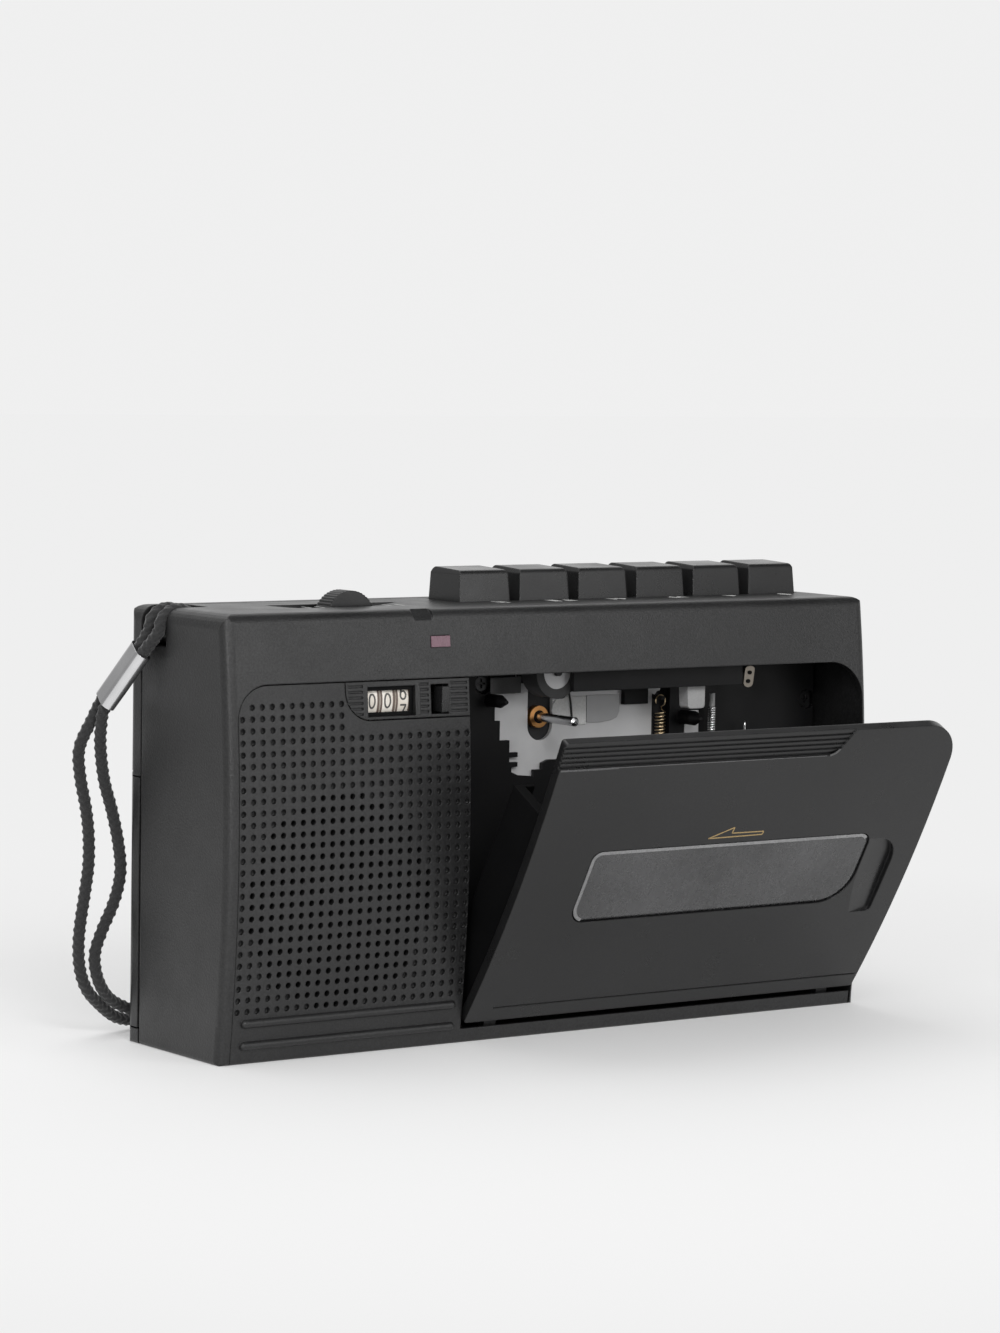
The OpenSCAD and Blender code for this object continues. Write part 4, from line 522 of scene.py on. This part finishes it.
class Ink:
    """Raised ink strokes and patches, gathered into one mesh."""

    def __init__(self, place):
        self.place = place
        self.points, self.faces = [], []

    def stroke(self, line, width, thick=0.03):
        rails = ribbon(fine_line(line), width)
        start = len(self.points)
        for left, right in rails:
            self.points += [self.place(*left, 0.0), self.place(*left, thick), self.place(*right, thick),
                            self.place(*right, 0.0)]
        for i in range(len(rails) - 1):
            a, b = start + 4 * i, start + 4 * i + 4
            self.faces += [(a + k, b + k, b + (k + 1) % 4, a + (k + 1) % 4) for k in range(4)]
        end = start + 4 * (len(rails) - 1)
        self.faces += [(start + 3, start + 2, start + 1, start), (end, end + 1, end + 2, end + 3)]

    def patch(self, outline, thick=0.03):
        start, n = len(self.points), len(outline)
        self.points += [self.place(u, v, h) for h in (0.0, thick) for u, v in outline]
        self.faces += [tuple(start + n + i for i in range(n)), tuple(start + i for i in reversed(range(n)))]
        for i in range(n):
            a, b = start + i, start + (i + 1) % n
            self.faces.append((a, b, b + n, a + n))

    def build(self, name, material, body, slot=None):
        piece(name, mesh_of(name, self.points, self.faces), material, body)


def arc(cx, cy, rx, ry, a0, a1, n=14):
    turns = [math.radians(a0 + (a1 - a0) * i / n) for i in range(n + 1)]
    return [(cx + rx * math.cos(a), cy + ry * math.sin(a)) for a in turns]


# Strokes of the digits in a box 1 wide and 1.6 tall
DIGITS = [
    [arc(0.5, 0.8, 0.48, 0.78, 90, 450, 28)],
    [[(0.2, 1.3), (0.55, 1.58), (0.55, 0.02)]],
    [arc(0.5, 1.12, 0.47, 0.46, 170, -35) + [(0.04, 0.02), (1.0, 0.02)]],
    [arc(0.47, 1.2, 0.43, 0.38, 150, -90), arc(0.47, 0.42, 0.49, 0.4, 90, -150)],
    [[(0.76, 0.02), (0.76, 1.58), (0.02, 0.48), (1.0, 0.48)]],
    [[(0.94, 1.58), (0.16, 1.58), (0.08, 0.86)] + arc(0.47, 0.5, 0.49, 0.48, 130, -150)],
    [arc(0.5, 0.48, 0.46, 0.46, 90, 450, 24), [(0.04, 0.5), (0.16, 1.0), (0.4, 1.4), (0.74, 1.58)]],
    [[(0.02, 1.58), (0.98, 1.58), (0.36, 0.02)]],
    [arc(0.5, 1.2, 0.38, 0.37, 90, 450, 20), arc(0.5, 0.42, 0.48, 0.41, 90, 450, 22)],
    [arc(0.5, 1.12, 0.46, 0.46, 90, 450, 24), [(0.96, 1.1), (0.84, 0.6), (0.6, 0.2), (0.26, 0.02)]],
]
MID_U, MID_V = 0.5, 0.8
DIGIT_WIDE, DIGIT_SIZE, DIGIT_STROKE, DIGIT_THICK = 1.45, 1.85, 0.4, 0.025
DRUM_Y, DRUM_Z, DRUM_R, DRUM_WIDTH = -12.552, 73.225, 6.5, 3.55
# Brown bands at the drums' sides: painted shade between the drums.
SIDE_BAND, SIDE_BAND_INSET, SIDE_BAND_THICK = 0.48, 0.25, 0.02
SUNK = 0.01  # how far the ink starts inside the drum


def drum_digits(name, left, shown):
    """Ten digits round a counter drum, one of them to the front, and a brown band at each of its sides:
    painted shade between the drums.
    """
    def place(u, v, h):
        a, r = v / DRUM_R, DRUM_R - SUNK + h
        return (left + DRUM_WIDTH / 2 + u, DRUM_Y - r * math.cos(a), DRUM_Z + r * math.sin(a))

    body = "drum_" + name
    ink = Ink(place)
    for digit, strokes in enumerate(DIGITS):
        mid = (shown - digit) * 2 * math.pi / 10 * DRUM_R
        for line in strokes:
            ink.stroke([((u - MID_U) * DIGIT_WIDE, mid + (v - MID_V) * DIGIT_SIZE) for u, v in line],
                       DIGIT_STROKE, DIGIT_THICK)
    ink.build("digits_" + name, INK_DARK, body, "drum")
    side_bands = Ink(place)
    half_turn = math.pi * DRUM_R
    for side in (-1, 1):
        x = side * (DRUM_WIDTH / 2 - SIDE_BAND_INSET)
        side_bands.stroke([(x, -half_turn), (x, half_turn)], SIDE_BAND, SIDE_BAND_THICK)
    side_bands.build("side_shade_" + name, INK_BROWN_SHADE, body, "drum")


drum_digits("hundreds", -49.75, 0)
drum_digits("tens", -45.9, 0)
drum_digits("units", -42.05, 6.4)


def key_marks():
    """Transport symbols on the top in front of the six keys, and plain ticks by the wheel."""
    top_z, y, tall, bar, tick = 91.99, -5.3, 4.2, 0.8, 0.45
    pause, stop, forward, rewind, play, record = -6.2, 9.6, 25.4, 41.2, 57.0, 72.0
    ink = Ink(lambda u, v, h: (u, v, top_z + h))
    low, high = y - tall / 2, y + tall / 2

    def triangle(x, way, width=2.0):
        back, tip = x - way * width / 2, x + way * width / 2
        ink.patch([(back, low), (tip, y), (back, high)][::way])

    def block(x0, x1, z0, z1):
        ink.patch([(x0, z0), (x1, z0), (x1, z1), (x0, z1)])

    def bar_at(x, width):
        block(x - width / 2, x + width / 2, low, high)

    bar_at(pause - 0.8, bar)
    bar_at(pause + 0.8, bar)
    bar_at(stop - 1.8, 2.0)
    eject_left, eject_right = stop + 0.8, stop + 3.2
    ink.patch([(eject_left, y - 0.9), (eject_right, y - 0.9), (stop + 2.0, high)])
    block(eject_left, eject_right, low, y - 1.4)
    for x, way in ((forward, 1), (rewind, -1)):
        triangle(x - 1.1, way)
        triangle(x + 1.1, way)
    triangle(play, 1, 2.6)
    ink.patch(arc(record, y, 1.3, tall / 2, 0, 345, 23))
    for x in (-55.6, -52.3, -35.6, -32.3):
        ink.stroke([(x, -7.2), (x, -3.6)], tick)
    ink.build("top_marks", INK_PALE, "cabinet", "cabinet")


def door_ink(sunk):
    """Ink on the open door's face, its base sunk a little below the face."""
    return Ink(lambda u, v, h: opened((u, crown_y(v) + sunk - h, v)))


def door_arrow():
    """Plain outline arrow on the door that shows which way the tape runs."""
    ink = door_ink(0.01)
    corners = [(21.4, 52.05), (27.6, 54.5), (27.4, 53.05), (36.0, 53.0), (35.9, 52.2)]
    for a, b in zip(corners, corners[1:] + corners[:1]):
        ink.stroke([a, b], 0.28)
    ink.build("door_arrow", INK_GOLD, "door", "door")


def grip_edge_highlight():
    """Lower edge of the grip strip as a thin bead of lighter plastic: a painted highlight along the edge,
    with wear.
    """
    ink = door_ink(0.02)
    ink.stroke([(-23.9, 71.35), (46.3, 71.35)], 0.2, 0.08)
    ink.stroke([(-23.9, 71.25), (-16.0, 71.2), (-9.0, 71.3)], 0.42, 0.1)
    ink.stroke(arc(46.0, 73.6, 3.6, 2.3, -72, -18, 8), 0.5, 0.1)
    ink.build("grip_edge_highlight", WORN_HIGHLIGHT, "door", "door")


def pane_face():
    """Raised face of the pane with a bevel all round, in rows from the bottom up."""
    x0, x1, z0, z1 = -8.05, 67.45, 32.0, 50.6
    low_left, low_right, top_right, top_left = 4.0, 8.0, 3.0, 2.0

    def row(t, inset, depth):
        low, high = z0 + inset, z1 - inset
        z = low + (high - low) * t

        def cut(below, above):
            for r, gap in ((below - inset, z - low), (above - inset, high - z)):
                if gap < r:
                    return r - math.sqrt(max(0.0, r * r - (r - gap) ** 2))
            return 0.0

        left = x0 + inset + cut(low_left, top_left)
        right = x1 - inset - cut(low_right, top_right)
        return [opened((x, crown_y(z, depth), z)) for x in (left, right)]

    outer_edge, inner_edge = (0.15, 0.43), (1.0, 0.06)  # inset and depth
    rows, points, faces = 36, [], []
    for k in range(rows + 1):
        t = (1 - math.cos(math.pi * k / rows)) / 2
        outer, inner = row(t, *outer_edge), row(t, *inner_edge)
        points += [outer[0], inner[0], inner[1], outer[1]]
    for k in range(rows):
        a, b = 4 * k, 4 * k + 4
        faces += [(a + i, b + i, b + i + 1, a + i + 1)[::-1] for i in range(3)]
        faces.append((a, a + 3, b + 3, b)[::-1])
    end = 4 * rows
    faces += [(0, 1, 2, 3)[::-1], (end, end + 1, end + 2, end + 3)]
    piece("pane_face", mesh_of("pane_face", points, faces), WINDOW, "door")


def counter_details():
    """Dark inner lips of the counter window, black sheets that stand for the shade at its top and bottom, and
    the slanted facet at its right.
    """
    shade_lips = [(-50.0, 70.2), (-38.25, 70.2), (-38.25, 76.28), (-50.0, 76.28), (-50.0, 75.45), (-38.95, 75.45),
            (-38.95, 70.95), (-50.0, 70.95)]
    # Black lips at the window's top and bottom: painted shade under the bezel, which also hide the
    # neighbouring digits.
    flat_part("counter_lips_shade", shade_lips, -19.6, -19.25, HOLDER, "cabinet")
    corners = [(-38.15, 70.5, 0.2), (-37.15, 70.15, -0.22), (-37.15, 76.25, -0.22), (-38.15, 75.9, 0.2)]
    inset, back = 0.3, 0.3
    points = [(x, crown_y(z, inset) + h, z) for x, z, h in corners]
    points += [(x, crown_y(z, inset) + back, z) for x, z, h in corners]
    faces = [(0, 1, 2, 3), (7, 6, 5, 4)] + [(i, i + 4, (i + 1) % 4 + 4, (i + 1) % 4) for i in range(4)]
    piece("counter_facet", mesh_of("counter_facet", points, faces), PANEL, "cabinet")


def pane_rim_highlight():
    """Moulded rim along the left and the top of the pane, in a lighter grey: a painted highlight where the
    edge faces the light.
    """
    ink = door_ink(0.04)
    path = arc(-3.5, 36.55, 4.0, 4.0, 250, 180, 8) + arc(-5.5, 48.05, 2.0, 2.0, 180, 90, 8) + [(63.6, 50.05)]
    ink.stroke(path + arc(64.3, 47.75, 2.3, 2.3, 88, 40, 6), 0.8, 0.08)
    ink.build("pane_rim_highlight", RIM_HIGHLIGHT, "door", "window")


key_marks()
door_arrow()
grip_edge_highlight()
pane_face()
pane_rim_highlight()


def bent_tube(name, line, radius, material, body, sides=10):
    """A round wire along a line of points, with flat ends."""
    line = [Vector(q) for q in line]
    points = []
    across = Vector((0.3, 0.9, 0.2))
    for i, p in enumerate(line):
        ahead = (line[min(i + 1, len(line) - 1)] - line[max(i - 1, 0)]).normalized()
        across = (across - across.dot(ahead) * ahead).normalized()
        other = ahead.cross(across)
        points += [p + radius * (math.cos(t) * across + math.sin(t) * other)
                   for t in (2 * math.pi * j / sides for j in range(sides))]
    faces = tube_faces(len(line), sides)
    piece(name, mesh_of(name, points, faces, True), material, body)


def flat_part(name, outline, y0, y1, material, body):
    """An outline in X and Z, as thick as from y0 to y1."""
    n = len(outline)
    points = [(x, y0, z) for x, z in outline] + [(x, y1, z) for x, z in outline]
    faces = [tuple(range(n)), tuple(range(2 * n - 1, n - 1, -1))]
    faces += [(i, n + i, n + (i + 1) % n, (i + 1) % n) for i in range(n)]
    piece(name, mesh_of(name, points, faces), material, body)


def deck_details():
    """Bits seen behind the open door: plates, a lever, a wire, a sprung post, a rod, a hook and a ring."""
    curve = [(26.6, 67.2), (25.9, 65.9), (24.2, 65.3), (21.5, 65.0), (19.4, 65.0), (17.7, 65.1)]
    step = [(17.7, 71.0), (26.6, 71.0)] + curve
    flat_part("plate_step", step, -4.72, -4.42, DIM_SHEET, "head_slide")
    lever = [(10.4, 71.0), (17.4, 70.9), (17.5, 64.6), (13.4, 64.9), (9.6, 65.8), (8.6, 66.7), (8.2, 67.9),
             (8.6, 69.4), (9.4, 70.4)]
    flat_part("pale_lever", lever[::-1], -4.8, -4.45, PALE_PLASTIC, "head_slide")
    corner = [(-8.8, 72.2), (-0.8, 72.3), (-0.8, 75.8), (-8.8, 75.7)]
    flat_part("corner_plate", corner, -5.8, -5.5, DARK_GREY, "cabinet")
    lead = [(12.5, -4.95, 72.6), (12.7, -5.0, 71.4), (13.1, -5.0, 69.6), (13.3, -5.0, 68.0),
            (13.5, -5.0, 66.2), (13.6, -5.0, 64.6)]
    bent_tube("lead_wire", lead, 0.24, RUBBER, "head_slide")
    strip = [(43.85, 61.2), (47.7, 61.2), (47.7, 66.75)]
    for a in (math.radians(t) for t in range(54, -80, -11)):
        strip.append((43.55 + 1.72 * math.cos(a), 65.4 + 1.72 * math.sin(a)))
    flat_part("guide_strip", strip, -5.95, -5.63, STEEL, "cabinet")

    post_x, post_y, coil_r = 49.8, -8.0, 0.85
    low_z, tall, steps, per_turn = 61.2, 6.3, 144, 12
    coil = []
    for i in range(steps + 1):
        a = 2 * math.pi * i / per_turn
        coil.append((post_x + coil_r * math.cos(a), post_y + coil_r * math.sin(a), low_z + tall * i / steps))
    bent_tube("post_spring", coil, 0.21, POLISHED, "cabinet", 8)
    post = [(post_x, post_y, z) for z in (60.6, 64.0, 67.5, 67.6, 70.4, 70.6)]
    bent_tube("spring_post", post, 0.42, GREY_CAP, "cabinet", 14)
    cap = [(post_x, post_y, z) for z in (67.7, 67.8, 69.2, 70.5, 70.6)]
    bent_tube("post_cap", cap, 0.68, GREY_CAP, "cabinet", 16)
    stay = [(59.2, post_y, z) for z in (60.4, 61.6, 63.0, 64.1)]
    bent_tube("stay_rod", stay, 0.3, POLISHED, "cabinet", 10)

    hook = arc(56.6, 73.0, 1.35, 1.0, 180, 360, 10) + arc(57.0, 76.0, 1.35, 0.8, 0, 180, 10)
    flat_part("plated_hook", hook, -12.3, -11.9, NICKEL, "head_slide")
    # Black ovals on the hook's face: painted shade standing for its two holes.
    for i, (x, z) in enumerate(((56.9, 75.3), (56.5, 73.4))):
        hole_shade = arc(x, z, 0.62, 0.45, 0, 342, 19)
        flat_part("hook_eye_%d" % i, hole_shade, -12.4, -12.28, HOLDER, "head_slide")
    tab = [(33.9, 72.0), (37.9, 72.0), (37.7, 71.4), (36.9, 71.2), (36.4, 70.5), (35.2, 70.9), (34.0, 71.1)]
    flat_part("spring_tab", tab[::-1], -4.6, -4.45, STEEL, "cabinet")
    ring = []
    for r, turns in ((1.42, range(0, 361, 15)), (1.06, range(360, -1, -15))):
        for a in (math.radians(t) for t in turns):
            ring.append((4.95 + r * math.cos(a), 66.8 + r * math.sin(a)))
    flat_part("oil_ring", ring[::-1], -4.78, -4.71, BLACK, "cabinet")


deck_details()
counter_details()


# Stage: a pale floor that fades into a pale surround, four soft lamps and a dark card overhead at the right.
# The surround is darker to both sides of the camera's direction, and the floor has a soft darker area at the
# back left, out of the camera's sight: the black plastic takes most of its tones from what it reflects.
PALE = (0.868, 0.868, 0.868, 1)
ACROSS_VIEW = (0.816, -0.577, 0)
SIDE_FADE = {"From Min": 0.3, "From Max": 0.95, "To Min": 1.0, "To Max": 0.4}
DIM_PLACE, DIM_LEVEL, DIM_REACH = (-0.5, 0.55, 0), (0.55, 1.0), (0.22, 0.56)
GLOW_SHARE, GLOW_REACH = (0.2, 0.97), (0.06, 0.3)
FLOOR_HALF = 6000
FLOOR = [(-FLOOR_HALF, -FLOOR_HALF, 0), (FLOOR_HALF, -FLOOR_HALF, 0), (FLOOR_HALF, FLOOR_HALF, 0),
         (-FLOOR_HALF, FLOOR_HALF, 0)]
CEILING_CARD = [(250, 380, 1000), (850, 380, 650), (850, -520, 650), (250, -520, 1000)]
LAMP_AIM = Vector((0, 0, 0.05))
LAMPS = {  # place, power, width and height
    "top_light": ((-0.1, 0.3, 1.3), 3.6, (0.9, 0.9)),
    "right_light": ((0.48, -0.95, 0.4), 1.9, (0.38, 0.75)),
    "front_light": ((-0.3, -0.85, 0.6), 4.0, (0.35, 0.35)),
    "strip_light": ((-0.9, -0.64, 0.3), 2.6, (0.04, 0.9)),
}


def make_surround():
    world = bpy.data.worlds.new("surround")
    scene.world = world
    world.use_nodes = True
    tree = world.node_tree
    sky = tree.nodes["Background"]
    sky.inputs["Color"].default_value = PALE
    across = tree.nodes.new("ShaderNodeVectorMath")
    across.operation = "DOT_PRODUCT"
    across.inputs[1].default_value = ACROSS_VIEW
    either_side = tree.nodes.new("ShaderNodeMath")
    either_side.operation = "ABSOLUTE"
    fade = tree.nodes.new("ShaderNodeMapRange")
    fade.interpolation_type = "SMOOTHSTEP"
    for key, number in SIDE_FADE.items():
        fade.inputs[key].default_value = number
    tree.links.new(tree.nodes.new("ShaderNodeTexCoord").outputs["Generated"], across.inputs[0])
    tree.links.new(across.outputs["Value"], either_side.inputs[0])
    tree.links.new(either_side.outputs["Value"], fade.inputs["Value"])
    tree.links.new(fade.outputs["Result"], sky.inputs["Strength"])


def mixed(g, share, other):
    """Mixes the graph's own shader with another one."""
    mix = g.add("ShaderNodeMixShader")
    g.link(share, mix.inputs["Fac"])
    g.link(g.shader.outputs["BSDF"], mix.inputs[1])
    g.link(other, mix.inputs[2])
    g.link(mix.outputs["Shader"], g.tree.nodes["Material Output"].inputs["Surface"])
    return g.mat


def pale_floor():
    g = Graph("pale_floor")
    g.put(Roughness=0.7)
    g.colour(g.ramp(g.noise(3, 2), [(0.3, (0.84, 0.84, 0.84)), (0.7, (0.855, 0.855, 0.855))]))
    away = g.add("ShaderNodeVectorMath", operation="LENGTH")
    g.link(g.coord, away.inputs[0])
    dim = g.add("ShaderNodeVectorMath", operation="DISTANCE")
    g.link(g.coord, dim.inputs[0])
    dim.inputs[1].default_value = DIM_PLACE
    glow = g.add("ShaderNodeEmission")
    glow.inputs["Color"].default_value = PALE
    g.link(g.span(dim.outputs["Value"], *DIM_LEVEL, *DIM_REACH), glow.inputs["Strength"])
    return mixed(g, g.span(away.outputs["Value"], *GLOW_SHARE, *GLOW_REACH), glow.outputs["Emission"])


def dark_card():
    """Dark board that is clear from behind."""
    g = Graph("dark_card")
    g.put(Roughness=0.9)
    g.colour(g.ramp(g.noise(20), [(0.3, (0.03, 0.03, 0.03)), (0.7, (0.04, 0.04, 0.04))]))
    behind = g.add("ShaderNodeNewGeometry").outputs["Backfacing"]
    return mixed(g, behind, g.add("ShaderNodeBsdfTransparent").outputs["BSDF"])


def stage_board(name, corners, material):
    board = bpy.data.objects.new(name, mesh_of(name, corners, [(0, 1, 2, 3)]))
    scene.collection.objects.link(board)
    board.data.materials.append(material)
    return board


def make_stage():
    make_surround()
    floor = stage_board("floor", FLOOR, pale_floor())
    for name, (place, power, width) in LAMPS.items():
        data = bpy.data.lights.new(name, "AREA")
        data.shape = "RECTANGLE"
        data.size, data.size_y = width
        data.energy = power
        obj = bpy.data.objects.new(name, data)
        scene.collection.objects.link(obj)
        obj.location = place
        obj.rotation_euler = (LAMP_AIM - Vector(place)).to_track_quat("-Z", "Y").to_euler()
    board = stage_board("ceiling_card", CEILING_CARD, dark_card())


make_stage()
